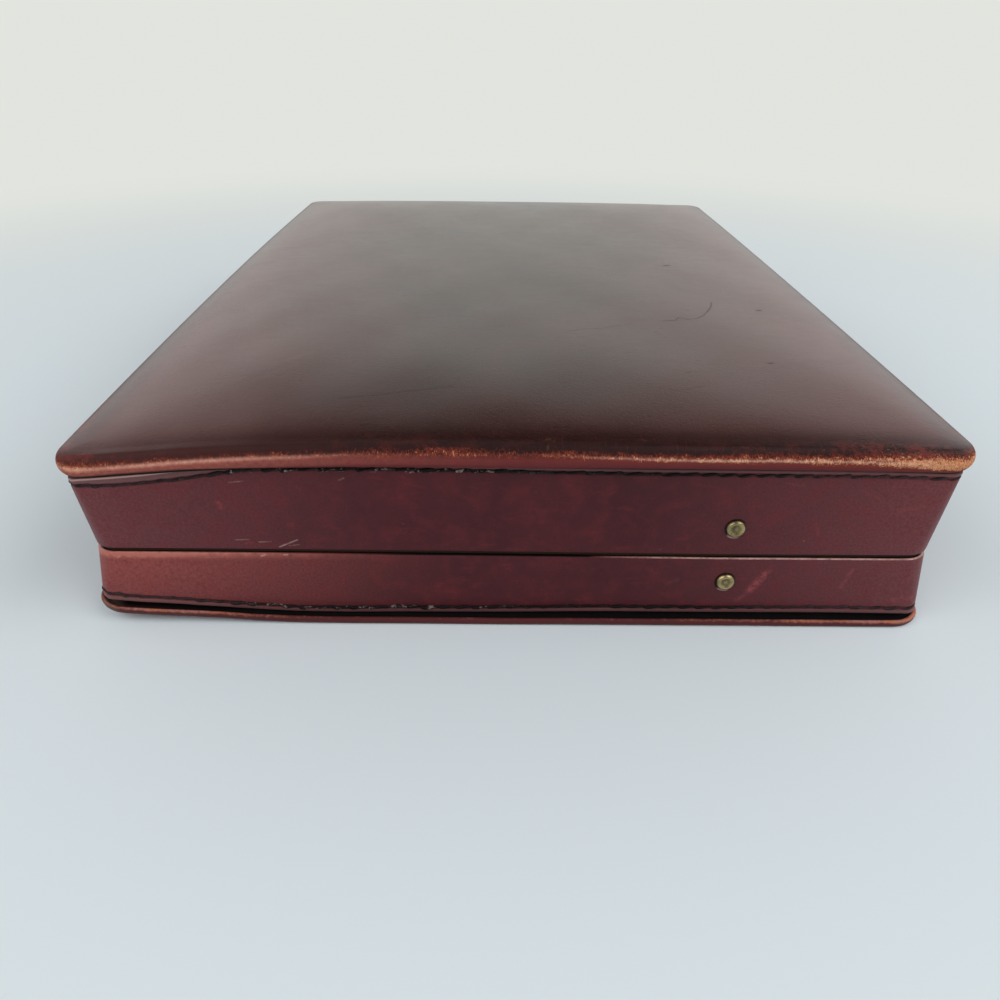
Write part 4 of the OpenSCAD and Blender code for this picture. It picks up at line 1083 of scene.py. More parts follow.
def stitchTree():
    tree, start, given = newTree("stitchRow", wallThread, threadSeed, "Thread")
    curve = start.node("GeometryNodeMeshToCurve", None, {"Mesh": given("Geometry")})
    line = start.node("GeometryNodeResampleCurve", {"mode": "LENGTH"}, {
        "Curve": curve, "Length": given("Step")})
    run = start.node("GeometryNodeSplineParameter", out=1) / given("Pitch")
    phase = run.math("FRACT", run)
    number = run.math("FLOOR", run)
    chance = start.node("FunctionNodeRandomValue", {"data_type": "FLOAT"},
                        {2: -1.0, 3: 1.0, "ID": number, "Seed": given("Seed")}, 1)
    full = phase.math("SINE", phase * math.pi) ** 0.55
    outward = named(start, "outward", "FLOAT_VECTOR")
    tangent = start.node("GeometryNodeInputTangent")
    upward = outward.vector("CROSS_PRODUCT", outward, tangent)
    out = given("Rise") * (full - 0.75) * (1 + chance * given("Scatter"))
    up = given("Slant") * (phase.ease(0.0, 0.88) - phase.ease(0.9, 1.0) - 0.5 + chance * given("Scatter"))
    offset = outward.vector("MULTIPLY", outward, start.join(out, out, out))
    offset = offset.vector("ADD", offset, upward.vector("MULTIPLY", upward, start.join(up, up, up)))
    moved = start.node("GeometryNodeSetPosition", None, {"Geometry": line, "Offset": offset})
    ring = start.node("GeometryNodeCurvePrimitiveCircle", None, {
        "Resolution": 8, "Radius": given("Width") / 2})
    size = (0.34 + 0.66 * full) * (1 + 0.6 * chance * given("Scatter")) * (1 + 0.35 * named(start, "dust"))
    thread = start.node("GeometryNodeCurveToMesh", None, {
        "Curve": moved, "Profile Curve": ring, "Scale": size, "Fill Caps": True})
    return endTree(tree, thread, True, given("Thread"))


stitches = stitchTree()


def stitchRow(name, body, points, outward, closed=False, dust=None, **sizes):
    count = len(points)
    edges = [(i, (i + 1) % count) for i in range(count if closed else count - 1)]
    inputs = {**wallThread, "Seed": threadSeed, "Thread": threadMaterial, **sizes}
    numbers = {"dust": np.zeros(count) if dust is None else dust}
    piece = runTree(name, stitches, points, edges, {"outward": outward}, inputs, numbers)
    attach(piece, body)


def wallSeam(heights):  # the bottom of the groove, at these heights
    xy, way = ringPoints(0, case["corner"] - wallShape["sharpen"] * 0.93)
    deep = wallShape["groove"] - 0.12
    return np.column_stack([xy + way * (0.9 * flareOut - deep)[:, None], heights])


outward = np.column_stack([outlineNormal, np.zeros(len(outX))])
waxDust = np.interp(outX, [-120, -100, -60, -20, 10], [0, 1, 1, 0.9, 0.1]) * (outY < -224)
stitchRow("lidStitches", "lid", wallSeam(lidStitch), outward, True, waxDust)
stitchRow("baseStitches", "base", wallSeam(baseStitch), outward, True, 0.6 * waxDust, Width=0.00125)
print("stitches made")


# Board and padding inside the lid, both crushed at the slumped corner
lidBoard = {"gap": 0.3, "top": 73.5, "edge": 73.1, "bottom": 70.52, "under": 2.25, "edgeUnder": 2.6}
padding = {"skin": lidTop["leather"] + 0.2, "bottom": 73.56, "edge": 72.5, "under": 2.2}
nearMiddle = 159.8  # mm in from the edge, where a ring is flat on the middle line


def makeLidBoard():
    edge = -lidBoard["gap"]
    rings = [crownRing(edge - inset, lidBoard["under"], ceiling=lidBoard["top"])
             for inset in (159, 60, 12, 4, 0.6)]
    rings.append(crownRing(edge, lidBoard["edgeUnder"], ceiling=lidBoard["edge"]))
    rings += [ringAt(edge - inset, lidBoard["bottom"]) for inset in (0, 4, 60, 159)]
    piece = sweep("lidBoard", rings, np.arange(len(rings) + 1) * 4, True)
    settle(piece, plyCoat, "lid", "lid_board")


def makePadding():
    inner = case["rollRadius"] - padding["skin"]
    offset = case["rollOffset"]
    rings = [crownRing(offset - inset, padding["skin"])
             for inset in (nearMiddle, 110, 71, 41, 20, 9, 4, 1.2, 0)]
    for degrees in (62, 36, 12, -10):
        angle = math.radians(degrees)
        z = case["rollZ"] + inner * math.sin(angle) + bow(outX, outY) * (1 + math.sin(angle)) / 2 + rollSlump
        rings.append(ringAt(offset + inner * math.cos(angle), z))
    edge = crownRing(offset - 0.1, padding["under"], ceiling=padding["bottom"])
    edge[:, 2] = np.minimum(edge[:, 2], padding["edge"] + rollSlump * 0.5)
    rings.append(edge)
    rings += [crownRing(offset - inset, padding["under"], ceiling=padding["bottom"])
              for inset in (0.7, 4, 20, 60, 110, nearMiddle)]
    piece = sweep("lidPadding", rings, np.arange(len(rings) + 1) * 4, True)
    settle(piece, hairFelt(), "lid", "lid_pad")


def hairFelt():
    coat = Coat("hairFelt", {"Specular IOR Level": 0.15})
    hairs = coat.noise(coat.place, 1.2, 6.0, 0.8, 1.5)
    colour = hairs.ease(0.3, 0.7).mix(rgb(168, 150, 116), rgb(214, 202, 172))
    return coat.finish(colour, 0.85 + 0.1 * hairs, [(hairs, 0.4)])


def plywood():
    # three plies that run along the walls, read from the distance to the walls' outline
    coat = Coat("plywood", {"Specular IOR Level": 0.3})
    place = coat.place
    radius = case["corner"] * mm
    qx = abs(place.part("X")) - (case["width"] / 2 * mm - radius)
    qy = abs(place.part("Y")) - (case["length"] / 2 * mm - radius)
    outside = (qx.most(0.0) * qx.most(0.0) + qy.most(0.0) * qy.most(0.0)) ** 0.5
    inside = qx.most(qy).least(0.0)
    depth = radius - outside - inside
    layer = (depth - 0.0018) / 0.00134  # the frame starts behind the leather
    ply = layer.math("PINGPONG", layer, 1.0).ease(0.38, 0.62)
    grain = coat.noise(place.scaled(0.25, 0.25, 2.0), 1.6, 5.0, 0.7)
    long = coat.noise(place.scaled(1.0, 0.05), 2.4, 5.0, 0.65, 0.6)
    colour = ply.mix(rgb(150, 108, 66), rgb(204, 168, 120))
    colour = (long.ease(0.4, 0.75) * 0.45).mix(colour, rgb(134, 92, 56))
    colour = (grain.ease(0.45, 0.8) * 0.35).mix(colour, rgb(104, 70, 44))
    # painted shade: the plies nearest the outside are near black, so the parting gap reads dark
    gapShade = 1 - depth.ease(0.0019, 0.0026)
    colour = (gapShade * 0.9).mix(colour, rgb(22, 10, 9))
    return coat.finish(colour, 0.6 + 0.2 * grain, [(grain, 0.08), (ply, 0.05)])


plyCoat = plywood()
makeLidBoard()
makePadding()
for nodeName in ("base_board", "base_frame", "lid_frame"):
    recoat(nodeName, plyCoat)
print("board, padding and frames made")


# Metals
def metal(name, bright, dull, dark, rough, tarnish):
    coat = Coat(name, {"Metallic": 1.0})
    place = coat.place
    hollow = coat.value("hollow")
    cloud = coat.noise(place, 7, 4.0, 0.65).ease(0.35, 0.7)
    spots = coat.noise(place, 0.9, 5.0, 0.75).ease(0.55, 0.75)
    scratch = coat.noise(place.scaled(0.3, 0.12, 1.5), 0.7, 3.0, 0.7, 0.8).ease(0.55, 0.8)
    colour = (cloud * tarnish).mix(bright, dull)
    colour = (spots * tarnish * 0.8).mix(colour, dark)
    colour = (scratch * 0.35).mix(colour, bright)
    colour = (hollow * 0.85).mix(colour, dark)
    roughness = rough + 0.10 * cloud + 0.16 * spots * tarnish + 0.06 * scratch + 0.2 * hollow
    return coat.finish(colour, roughness, [(scratch, 0.012), (spots, 0.015)])


metals = {
    "brass": metal("brass", rgb(208, 178, 112), rgb(158, 130, 82), rgb(84, 64, 42), 0.25, 0.8),
    "rivet": metal("agedBrass", rgb(176, 160, 116), rgb(104, 94, 66), rgb(40, 34, 24), 0.2, 1.0),
    "steel": metal("steel", rgb(196, 194, 190), rgb(150, 148, 144), rgb(90, 84, 80), 0.25, 0.6),
}


rounding = {"weld": 0.003, "flat": 0.8, "sharp": 30, "segments": 2}  # mm, and two angles in degrees


def polished(name, node, coat, width):
    # a copy of a CAD node's mesh with its edges rounded, by a width in mm
    mesh = frame["nodes"][node].data.copy()
    mesh.name = name
    work = bmesh.new()
    work.from_mesh(mesh)
    bmesh.ops.remove_doubles(work, verts=work.verts, dist=rounding["weld"] * mm)
    flat = math.radians(rounding["flat"])
    bmesh.ops.dissolve_limit(work, angle_limit=flat, verts=work.verts, edges=work.edges)
    work.to_mesh(mesh)
    work.free()
    mesh.materials.clear()
    mesh.polygons.foreach_set("use_smooth", [True] * len(mesh.polygons))
    piece = addObject(name, mesh)
    bevel = piece.modifiers.new("edges", "BEVEL")
    bevel.width = width * mm
    bevel.segments = rounding["segments"]
    bevel.limit_method = "ANGLE"
    bevel.angle_limit = math.radians(rounding["sharp"])
    bevel.harden_normals = True
    bevel.use_clamp_overlap = True
    piece.data = evaluated(piece)
    piece.modifiers.clear()
    settle(piece, coat, bodyOfNode[node], node)


hardware = [  # name, node, metal, slot, width of the rounded edge in mm
    ("baseHingeLeaf", "base_hinge_leaf", "brass", "brass", 0.12),
    ("lidHingeLeaf", "lid_hinge_leaf", "brass", "brass", 0.12),
    ("hingePin", "hinge_pin", "steel", "steel", 0.15),
]
for side in ("near", "far"):
    hardware += [
        (side + "BaseLink", side + "_base_link", "brass", "brass", 0.25),
        (side + "LidLink", side + "_lid_link", "brass", "brass", 0.25),
        (side + "KneeRivet", side + "_knee_rivet", "rivet", "steel", 0.22),
        (side + "LockPlate", side + "_lock_plate", "brass", "brass", 0.3),
        (side + "LockCase", side + "_lock_case", "brass", "brass", 0.3),
        (side + "LockButton", side + "_lock_button", "brass", "brass", 0.15),
        (side + "HaspPlate", side + "_hasp_plate", "brass", "brass", 0.25),
        (side + "Hasp", side + "_hasp", "brass", "brass", 0.3),
        (side + "HaspPin", side + "_hasp_pin", "steel", "steel", 0.15),
        (side + "HandleBracket", side + "_handle_bracket", "brass", "brass", 0.3),
        (side + "HandlePin", side + "_handle_pin", "steel", "steel", 0.2),
        (side + "HandleEnd", side + "_handle_end", "brass", "brass", 0.3),
    ]
bodies = frame["record"]["behaviour"]["bodies"]
bodyOfNode = {node: body for body, members in bodies.items() for node in members}
for name, node, finish, slot, width in hardware:
    polished(name, node, metals[finish], width)
recoat("handle_core", metals["steel"])
print("hardware made")


# Domed rivets of the stays: a rolled rim, a dimple and a small peak, the shank, and the peened end inside
rivetHead = {  # radius and height, from the middle outwards, and how dirty it is at each of them
    "profile": [(0, 1.0), (0.4, 0.98), (0.8, 0.9), (1.1, 0.86), (1.4, 0.9), (1.7, 1.06), (2.0, 1.24),
                (2.3, 1.36), (2.6, 1.4), (2.95, 1.3), (3.25, 1.08), (3.5, 0.74), (3.68, 0.36), (3.75, 0.0),
                (3.7, -0.05), (1.6, -0.05)],
    "hollow": [0.3, 0.4, 0.6, 0.7, 0.65, 0.45, 0.2, 0, 0, 0, 0.1, 0.35, 0.8, 1, 1, 1],
}


def makeStayRivets(name, node, body, z, linkInner):
    # the part inside the wall, as radius and depth: shank, washer, shank, and the peened end on the link
    inside = [(1.6, 6.8), (3.1, 6.82), (3.1, linkInner - 1.35), (1.6, linkInner - 1.3), (1.6, linkInner),
              (3.05, linkInner + 0.02), (3.0, linkInner + 0.35), (2.4, linkInner + 0.62),
              (1.2, linkInner + 0.72), (0, linkInner + 0.72)]
    profile = rivetHead["profile"] + [(r, -depth) for r, depth in inside]
    points = []
    faces = []
    count = stayRivet["segments"]
    for end in (-1, 1):
        start = len(points)
        wall = end * case["length"] / 2
        for r, h in profile:
            for k in range(count):
                a = 2 * math.pi * k / count
                points.append((stayRivet["x"] + r * math.cos(a), wall + end * h, z + r * math.sin(a)))
        for i in range(len(profile) - 1):
            here = start + i * count
            for k in range(count):
                n = (k + 1) % count
                quad = [here + k, here + n, here + count + n, here + count + k]
                faces.append(quad if end < 0 else quad[::-1])
    hollow = np.repeat(rivetHead["hollow"] + [0.3] * len(inside), count)
    piece = weld(makePiece(name, points, faces, None, {"hollow": np.tile(hollow, 2)}))
    settle(piece, metals["rivet"], body, node)


makeStayRivets("baseStayRivets", "base_stay_rivets", "base", stayRivet["baseZ"], 9.1)
makeStayRivets("lidStayRivets", "lid_stay_rivets", "lid", stayRivet["lidZ"], 10.6)


# Small rivets and screws, by Geometry Nodes: one head on each point
rivetSizes = {"Radius": 0.0018, "Height": 0.00075, "Slot": 0.0004}
screwSizes = {"Radius": 0.00142, "Height": 0.0004, "Slot": 0.00035}


def headTree(name, slotted):
    tree, start, given = newTree(name, rivetSizes, 1, "Metal")
    radius = given("Radius")
    height = given("Height")
    if slotted:
        disc = start.node("GeometryNodeMeshCylinder", None, {
            "Vertices": 20, "Radius": radius, "Depth": height})
        bar = start.node("GeometryNodeMeshCube", None, {
            "Size": start.join(radius * 3, given("Slot"), height)})
        raised = start.node("GeometryNodeTransform", None, {
            "Geometry": bar, "Translation": start.join(0.0, 0.0, height * 0.6)})
        head = start.node("GeometryNodeMeshBoolean", {"operation": "DIFFERENCE", "solver": "EXACT"},
                          {0: disc, 1: raised})
    else:
        ball = start.node("GeometryNodeMeshUVSphere", None, {"Segments": 20, "Rings": 10, "Radius": 1.0})
        head = start.node("GeometryNodeTransform", None, {
            "Geometry": ball, "Scale": start.join(radius, radius, height)})
    outward = named(start, "outward", "FLOAT_VECTOR")
    facing = start.node("FunctionNodeAlignRotationToVector", {"axis": "Z"}, {"Vector": outward})
    turn = start.node("FunctionNodeRandomValue", {"data_type": "FLOAT"},
                      {2: 0.0, 3: 6.28, "Seed": given("Seed")}, 1)
    spin = start.node("FunctionNodeEulerToRotation", None, {0: start.join(0.0, 0.0, turn)})
    final = start.node("FunctionNodeRotateRotation", {"rotation_space": "LOCAL"}, {0: facing, 1: spin})
    placed = start.node("GeometryNodeInstanceOnPoints", None, {
        "Points": given("Geometry"), "Instance": head, "Rotation": final})
    return endTree(tree, placed, not slotted, given("Metal"))


rivetTree = headTree("rivetHeads", False)
screwTree = headTree("screwHeads", True)


def heads(name, tree, node, slot, points, outward, finish, **sizes):
    piece = runTree(name, tree, points, [], {"outward": [outward] * len(points)}, {"Metal": finish, **sizes})
    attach(piece, bodyOfNode[node])
    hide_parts(node)


fasteners = {
    "lockY": 140,
    "handleY": 62,
    "hingeX": 156.2,
    "hingePitch": 40,
    "screws": 10,
    "baseLeafZ": 31.72,
    "lidLeafZ": 32.28,
}
lockPoints = [(-161, side * fasteners["lockY"] + dy, z) for side in (-1, 1) for dy in (-17.2, 17.2)
              for z in (11.3, 27.2)]
haspPoints = [(-161, side * fasteners["lockY"] + dy, z) for side in (-1, 1)
              for dy, z in ((-6.2, 53), (0, 50), (6.2, 53))]
bracketPoints = [(-161.2, side * fasteners["handleY"] + dy, z) for side in (-1, 1) for dy in (-9.4, 9.4)
                 for z in (11.1, 22.4)]
for name, node, points in (("lockRivets", "lock_rivets", lockPoints),
                           ("haspPlateRivets", "hasp_plate_rivets", haspPoints),
                           ("handleBracketRivets", "handle_bracket_rivets", bracketPoints)):
    heads(name, rivetTree, node, "aged_brass", points, (-1, 0, 0), metals["rivet"])
screwYs = (np.arange(fasteners["screws"]) - (fasteners["screws"] - 1) / 2) * fasteners["hingePitch"]
for name, node, z, up, seed in (("baseHingeScrews", "base_hinge_screws", fasteners["baseLeafZ"], 1, 4),
                                ("lidHingeScrews", "lid_hinge_screws", fasteners["lidLeafZ"], -1, 9)):
    points = [(fasteners["hingeX"], y, z) for y in screwYs]
    heads(name, screwTree, node, "brass", points, (0, 0, up), metals["brass"], Seed=seed, **screwSizes)
print("rivets and screws made")


# Handle: a leather grip on a bowed line, with a seam and two rows of stitches on its inner side
grip = {
    "pivot": (-169, 0, 16.5),
    "droop": 11,
    "start": 6.5,
    "bend": 13.5,
    "reach": 38,
    "half": 62,
    "power": 2.6,
    "middle": 8.0,
    "end": 4.2,
    "oval": 0.045,
    "seam": 0.3,
    "seamHalf": 0.16,
    "rows": 108,
    "around": 36,
    "stitchAngle": 0.62,
    "bareRows": 9,
}


def gripLine():
    angles = np.radians(np.linspace(0, 180, 400))
    c, s = np.cos(angles), np.sin(angles)
    power = 2 / grip["power"]
    x = grip["half"] * np.sign(c) * np.abs(c) ** power
    y = grip["bend"] + (grip["reach"] - grip["bend"]) * np.abs(s) ** power
    ends = [[grip["half"], grip["start"]], [-grip["half"], grip["start"]]]
    line = np.vstack([ends[0], np.column_stack([x, y]), ends[1]])
    run = np.concatenate([[0], np.cumsum(np.linalg.norm(np.diff(line, axis=0), axis=1))])
    even = np.linspace(0, run[-1], grip["rows"])
    line = np.column_stack([np.interp(even, run, line[:, 0]), np.interp(even, run, line[:, 1])])
    for _ in range(3):
        line[1:-1] = (line[:-2] + 2 * line[1:-1] + line[2:]) / 4
    way = np.gradient(line, axis=0)
    return line, way / np.linalg.norm(way, axis=1)[:, None]


def toCase(points):  # from the handle's own axes at rest
    angle = math.radians(-grip["droop"])
    lx, ly, lz = np.asarray(points).T
    x = -ly * math.cos(angle) + lz * math.sin(angle)
    z = ly * math.sin(angle) + lz * math.cos(angle)
    return np.column_stack([grip["pivot"][0] + x, lx, grip["pivot"][2] + z])


def makeGrip():
    line, way = gripLine()
    rows, around = grip["rows"], grip["around"]
    share = np.linspace(0, 1, rows)
    swell = np.sin(np.pi * np.clip(share * 1.04 - 0.02, 0, 1)) ** 1.15
    radius = grip["end"] - 0.05 + (grip["middle"] - grip["end"]) * swell

    def onGrip(i, a, lift):  # a point on row i at an angle, and the way out there
        r = radius[i] * (1 - grip["oval"] * math.cos(2 * a)) + lift
        outward = np.array([math.cos(a) * way[i, 1], -math.cos(a) * way[i, 0], math.sin(a)])
        return np.append(line[i], 0) + r * outward, outward

    points = []
    wear = []
    crest = []
    for i in range(rows):
        for j in range(around):
            a = 2 * math.pi * j / around
            inner = math.pi - abs(a - math.pi)  # 0 on the outer side, pi on the inner one
            seam = math.exp(-((inner - math.pi) / grip["seamHalf"]) ** 2)
            points.append(onGrip(i, a, grip["seam"] * seam * swell[i] - 0.05)[0])
            wear.append(0.1 + 0.3 * swell[i])
            crest.append(inner * radius[i] / 2.5)
    faces = []
    uvs = []
    for i in range(rows - 1):
        here, after = i * around, (i + 1) * around
        for j in range(around):
            k = (j + 1) % around
            faces.append((here + j, here + k, after + k, after + j))
            u, v = i * 2, j * 1.3
            uvs += [(u, v), (u, v + 1.3), (u + 2, v + 1.3), (u + 2, v)]
    for i, turn in ((0, -1), (rows - 1, 1)):
        faces.append(tuple(i * around + j for j in range(around))[::turn])
        uvs += [(0, 0)] * around
    blank = np.zeros(len(points))
    piece = weld(makePiece("handleGrip", toCase(points), faces, uvs, {
        "wear": wear, "crest": crest, "wide": blank + 0.9, "line": blank, "face": blank, "grimeAndShade": blank}))
    settle(piece, topCoat, "handle", "handle_grip")
    for name, side in (("handleStitchesUpper", -1), ("handleStitchesLower", 1)):
        a = math.pi + side * grip["stitchAngle"]
        sewn = range(grip["bareRows"], rows - grip["bareRows"])
        where, out = np.array([onGrip(i, a, -0.12) for i in sewn]).transpose(1, 0, 2)
        base = toCase(where)
        stitchRow(name, "handle", base, toCase(where + out) - base, **gripThread)


makeGrip()
print("handle made")


# Linings: suede trays in the base and the lid
trayProfile = {  # offset and height, and on the wall offset, share of the wall's height, and mm added to it
    "under": [(-160, -0.95), (-60, -0.95), (-8, -0.95), (-5.95, -0.9)],
    "wall": [(-5.92, 0.5, 0), (-5.92, 1, -0.25), (-6.05, 1, -0.02), (-6.4, 1, 0), (-6.7, 1, -0.08),
             (-6.8, 1, -0.4), (-6.8, 0.66, 0), (-6.8, 0.33, 0)],
    "floor": [(-6.82, 3.2), (-7.0, 1.9), (-7.6, 0.8), (-8.6, 0.22), (-10, 0.04), (-14, 0), (-24, 0),
              (-44, 0), (-80, 0), (-120, 0), (-160, 0)],
}


def suede():
    coat = Coat("suedeLining", {"Specular IOR Level": 0.12, "Sheen Weight": 0.25, "Sheen Roughness": 0.6})
    place = coat.place
    nap = coat.noise(place, 18, 4.0, 0.65, 0.6).ease(0.35, 0.7)
    fine = coat.noise(place, 0.6, 5.0, 0.8)
    darkening = coat.noise(place, 45, 4.0, 0.6).ease(0.55, 0.8)
    colour = nap.mix(rgb(166, 132, 96), rgb(190, 158, 120))
    colour = (fine.ease(0.35, 0.75) * 0.3).mix(colour, rgb(140, 106, 74))
    colour = (darkening * 0.25).mix(colour, rgb(120, 92, 68))
    return coat.finish(colour, 0.86 + 0.1 * fine, [(fine, 0.09), (nap, 0.10)])


def makeTray(name, node, body, flip, floorZ, rimZ):
    # from the middle underneath, up the back, over the rim, down the wall and in to the floor's middle
    rise = flip * (rimZ - floorZ)
    wall = [(out, rise * share + more) for out, share, more in trayProfile["wall"]]
    profile = trayProfile["under"] + wall + trayProfile["floor"]
    rings = [ringAt(out, floorZ + flip * h) for out, h in profile]
    across = np.concatenate([[0], np.cumsum(np.hypot(*np.diff(profile, axis=0).T))])
    piece = sweep(name, rings[::flip], across, False)
    settle(piece, suedeCoat, body, node)


suedeCoat = suede()
makeTray("baseLining", "base_lining", "base", 1, 6.0, 30.5)
makeTray("lidLining", "lid_lining", "lid", -1, 69.5, 33.5)


# Pocket in the lid: a leather panel with a turned front edge, sewn on three sides
pocket = {
    "x0": -90.8,
    "x1": 139.2,
    "half": 200,
    "z": 63.1,
    "thick": 1.2,
    "rows": 80,
    "edgeX": [0, 0.15, 0.45, 0.9, 2, 4, 6.5, 7.2, 8],  # distances from the front edge, where the hem is
    "middleX": 39,  # and how many there are behind it
    "turned": ([0, 0.15, 0.45, 0.9, 6.5, 7.2], [0.42, 0.2, 0.05, 0, 0, 0.12]),
    "sewn": 9,
    "hem": 5.2,
    "hemHalf": 196,
    "inset": 3,
}


def pocketLeather():
    coat = Coat("pocketLeather", {"Specular IOR Level": 0.3})
    place = coat.place
    patch = coat.noise(place, 15, 4.0, 0.6).ease(0.35, 0.7)
    broad = coat.noise(place, 70, 3.0, 0.6).ease(0.3, 0.7)
    colour = broad.mix(rgb(96, 48, 42), rgb(116, 60, 50))
    colour = (patch * 0.4).mix(colour, rgb(134, 72, 58))
    edge = 1 - (place.part("X") - pocket["x0"] * mm).ease(0.0, 0.0016)
    colour = (edge * 0.5).mix(colour, rgb(158, 100, 80))
    return coat.finish(colour, 0.5 + 0.15 * patch, leatherGrain(coat, 0.12, 0.08))


def makePocket(coat):
    deep = pocket["x1"] - pocket["x0"]
    xs = np.concatenate([pocket["edgeX"], np.linspace(10, deep, pocket["middleX"])])
    ys = np.linspace(-pocket["half"], pocket["half"], pocket["rows"] + 1)
    turned = np.interp(xs, *pocket["turned"])
    points = []
    for face in (0, 1):
        for dx, turn in zip(xs, turned):
            inner = min(dx / 60, 1) * min((deep - dx) / 40, 1)
            for y in ys:
                side = max(1 - (abs(y) / (pocket["half"] - 6)) ** 6, 0)
                wave = 0.10 * math.sin(y / 37) * math.sin(dx / 41) * inner * side
                above = (turn + wave, pocket["thick"] - turn + 0.3 * wave)[face]
                points.append((pocket["x0"] + dx, y, pocket["z"] + above))
    nx, ny = len(xs), len(ys)
    top = nx * ny
    faces = []
    for i in range(nx - 1):
        for j in range(ny - 1):
            a = i * ny + j
            b = top + a
            faces.append((a, a + 1, a + ny + 1, a + ny))
            faces.append((b, b + ny, b + ny + 1, b + 1))
    for j in range(ny - 1):
        e = top - ny + j
        faces.append((j, top + j, top + j + 1, j + 1))
        faces.append((e, e + 1, top + e + 1, top + e))
    for i in range(nx - 1):
        a = i * ny
        b = a + ny - 1
        faces.append((a, a + ny, top + a + ny, top + a))
        faces.append((b, top + b, top + b + ny, b + ny))
    settle(weld(makePiece("lidPocketPanel", points, faces)), coat, "lid", "lid_pocket")


def sewPocket():
    low = pocket["z"] + 0.02
    front = pocket["x0"] + pocket["sewn"]
    back = pocket["x1"] - pocket["inset"]
    side = pocket["half"] - pocket["inset"]
    corners = np.array([(front, -side, low), (back, -side, low), (back, side, low), (front, side, low)])
    sewn = [first + (last - first) * k / 60 for first, last in zip(corners, corners[1:]) for k in range(60)]
    sewn.append(corners[-1])
    half = pocket["hemHalf"]
    hem = [(pocket["x0"] + pocket["hem"], y, low) for y in np.linspace(-half, half, 120)]
    for name, line in (("pocketStitches", sewn), ("pocketHemStitches", hem)):
        stitchRow(name, "lid", line, [(0, 0, -1)] * len(line), **pocketThread)


pocketCoat = pocketLeather()
makePocket(pocketCoat)
recoat("pocket_gussets", pocketCoat)
sewPocket()
print("linings and pocket made")


# Floor, light and camera, in metres
room = {
    "floorHalf": 6.0,
    "floor": (0.75, 0.84, 0.895, 1),
    "backdrop": (0.76, 0.78, 0.735, 1),
    "middleTint": (0.98, 1.0, 0.94, 1),
    "sideTint": (1.0, 0.965, 0.95, 1),
}
lamps = [
    {"name": "right", "place": (1.25, -0.75, 1.35), "aim": (0, -0.05, 0), "width": 1.7, "height": 1.4,
     "power": 14, "colour": (1, 0.985, 0.97)},
    {"name": "left", "place": (-1.1, -1.2, 1.3), "aim": (0, -0.1, 0), "width": 1.8, "height": 1.4,
     "power": 11.5, "colour": (0.97, 0.985, 1)},
]
view = {
    "place": (-0.00763, -0.46797, 0.20045),
    "pitch": 30.87,
    "yaw": 0.54,
    "roll": -0.75,
    "lens": 28.055,
    "sensor": 36,
}


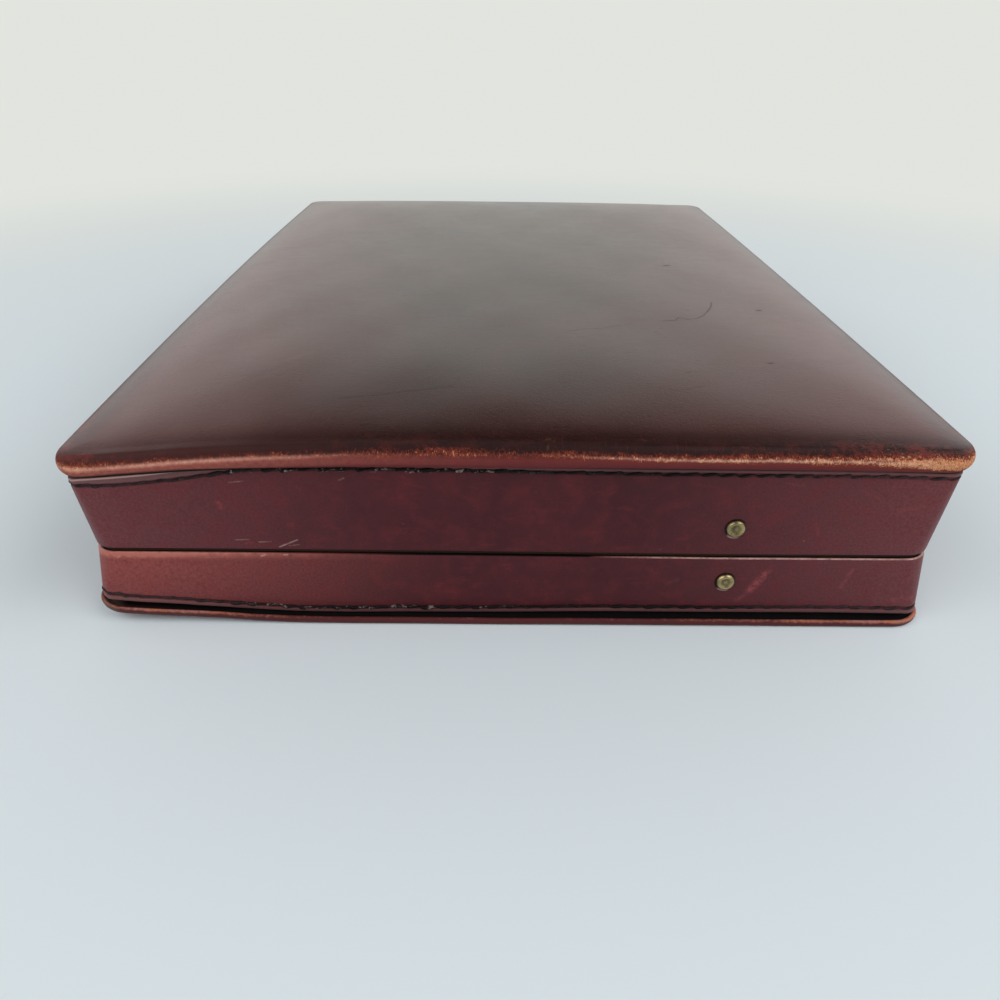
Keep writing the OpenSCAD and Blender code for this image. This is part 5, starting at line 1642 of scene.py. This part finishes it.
def makeFloor():
    size = room["floorHalf"]
    mesh = bpy.data.meshes.new("floor")
    corners = [(-size, -size, 0), (size, -size, 0), (size, size, 0), (-size, size, 0)]
    mesh.from_pydata(corners, [], [(0, 1, 2, 3)])
    coat = Coat("paleFloor", {"Base Color": room["floor"], "Roughness": 0.9, "Specular IOR Level": 0.1})
    # the floor glows from 0.24 m out and turns into the backdrop far away; the glow also lightens the floor
    # beside the case as painted light
    far = coat.place.vector("LENGTH", coat.place, out=1).ease(0.24, 1.05)
    glow = coat.start.node("ShaderNodeEmission", None, {"Color": room["backdrop"], "Strength": 1.0})
    blend = coat.start.node("ShaderNodeMixShader", None, {0: far, 2: glow})
    tree = coat.material.node_tree
    tree.links.new(coat.shader.outputs[0], blend.socket.node.inputs[1])
    tree.links.new(blend.socket, tree.nodes["Material Output"].inputs["Surface"])
    mesh.materials.append(coat.material)
    addObject("floor", mesh)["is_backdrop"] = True


def makeWorld():
    world = bpy.data.worlds.new("room")
    world.use_nodes = True
    bpy.context.scene.world = world
    tree = world.node_tree
    backdrop = tree.nodes["Background"]
    start = Wire(tree)
    way = start.node("ShaderNodeTexCoord", None, None, "Generated")
    # a pale wall low at the back, dark above it, bright to the sides, and dimmer at the front
    toBack = way.part("Y").ease(-0.3, 0.55)
    high = way.part("Z").ease(0.37, 0.68)
    sideways = abs(way.part("X")).ease(0.1, 0.6)
    toFront = (-way.part("Y")).ease(0.3, 0.8) * (1 - abs(way.part("X")).ease(0.2, 0.6))
    bright = 0.61 + 0.58 * toBack * (1 - high) - 0.46 * toBack * high - 0.28 * toFront + 0.25 * sideways
    bright = (bright - 0.34 * way.part("Z").ease(0.55, 0.95)).most(0.05)
    seen = start.node("ShaderNodeLightPath", None, None, "Is Camera Ray")
    tree.links.new((seen + (1 - seen) * bright).socket, backdrop.inputs["Strength"])
    tint = sideways.mix(room["middleTint"], room["sideTint"])
    colour = seen.mix(tint, room["backdrop"])
    tree.links.new(colour.socket, backdrop.inputs["Color"])


def makeLamp(lamp):
    light = bpy.data.lights.new(lamp["name"], "AREA")
    light.shape = "RECTANGLE"
    light.size = lamp["width"]
    light.size_y = lamp["height"]
    light.energy = lamp["power"]
    light.color = lamp["colour"]
    holder = addObject(lamp["name"], light)
    holder.location = lamp["place"]
    way = Vector(lamp["aim"]) - Vector(lamp["place"])
    holder.rotation_euler = way.to_track_quat("-Z", "Y").to_euler()


def makeCamera():
    pitch, yaw, roll = (math.radians(view[key]) for key in ("pitch", "yaw", "roll"))
    forward = Vector((math.sin(yaw) * math.cos(pitch), math.cos(yaw) * math.cos(pitch), -math.sin(pitch)))
    right = Vector((math.cos(yaw), -math.sin(yaw), 0))
    down = forward.cross(right)
    turnedRight = right * math.cos(roll) + down * math.sin(roll)
    turnedDown = down * math.cos(roll) - right * math.sin(roll)
    turn = Matrix((turnedRight, -turnedDown, -forward)).transposed().to_4x4()
    lens = bpy.data.cameras.new("view")
    lens.sensor_width = view["sensor"]
    lens.lens = view["lens"]
    lens.clip_start = 0.01
    camera = addObject("view", lens)
    camera.matrix_world = Matrix.Translation(view["place"]) @ turn
    bpy.context.scene.camera = camera


makeFloor()
makeWorld()
for lamp in lamps:
    makeLamp(lamp)
makeCamera()
bpy.context.scene.view_settings.view_transform = "Standard"
print("stage made")

sizes = {"cad": cadBox, "visual": [list(corner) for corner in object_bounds()]}
"\n".join(str(line) for line in sizes["cad"] + sizes["visual"]) + "\n"
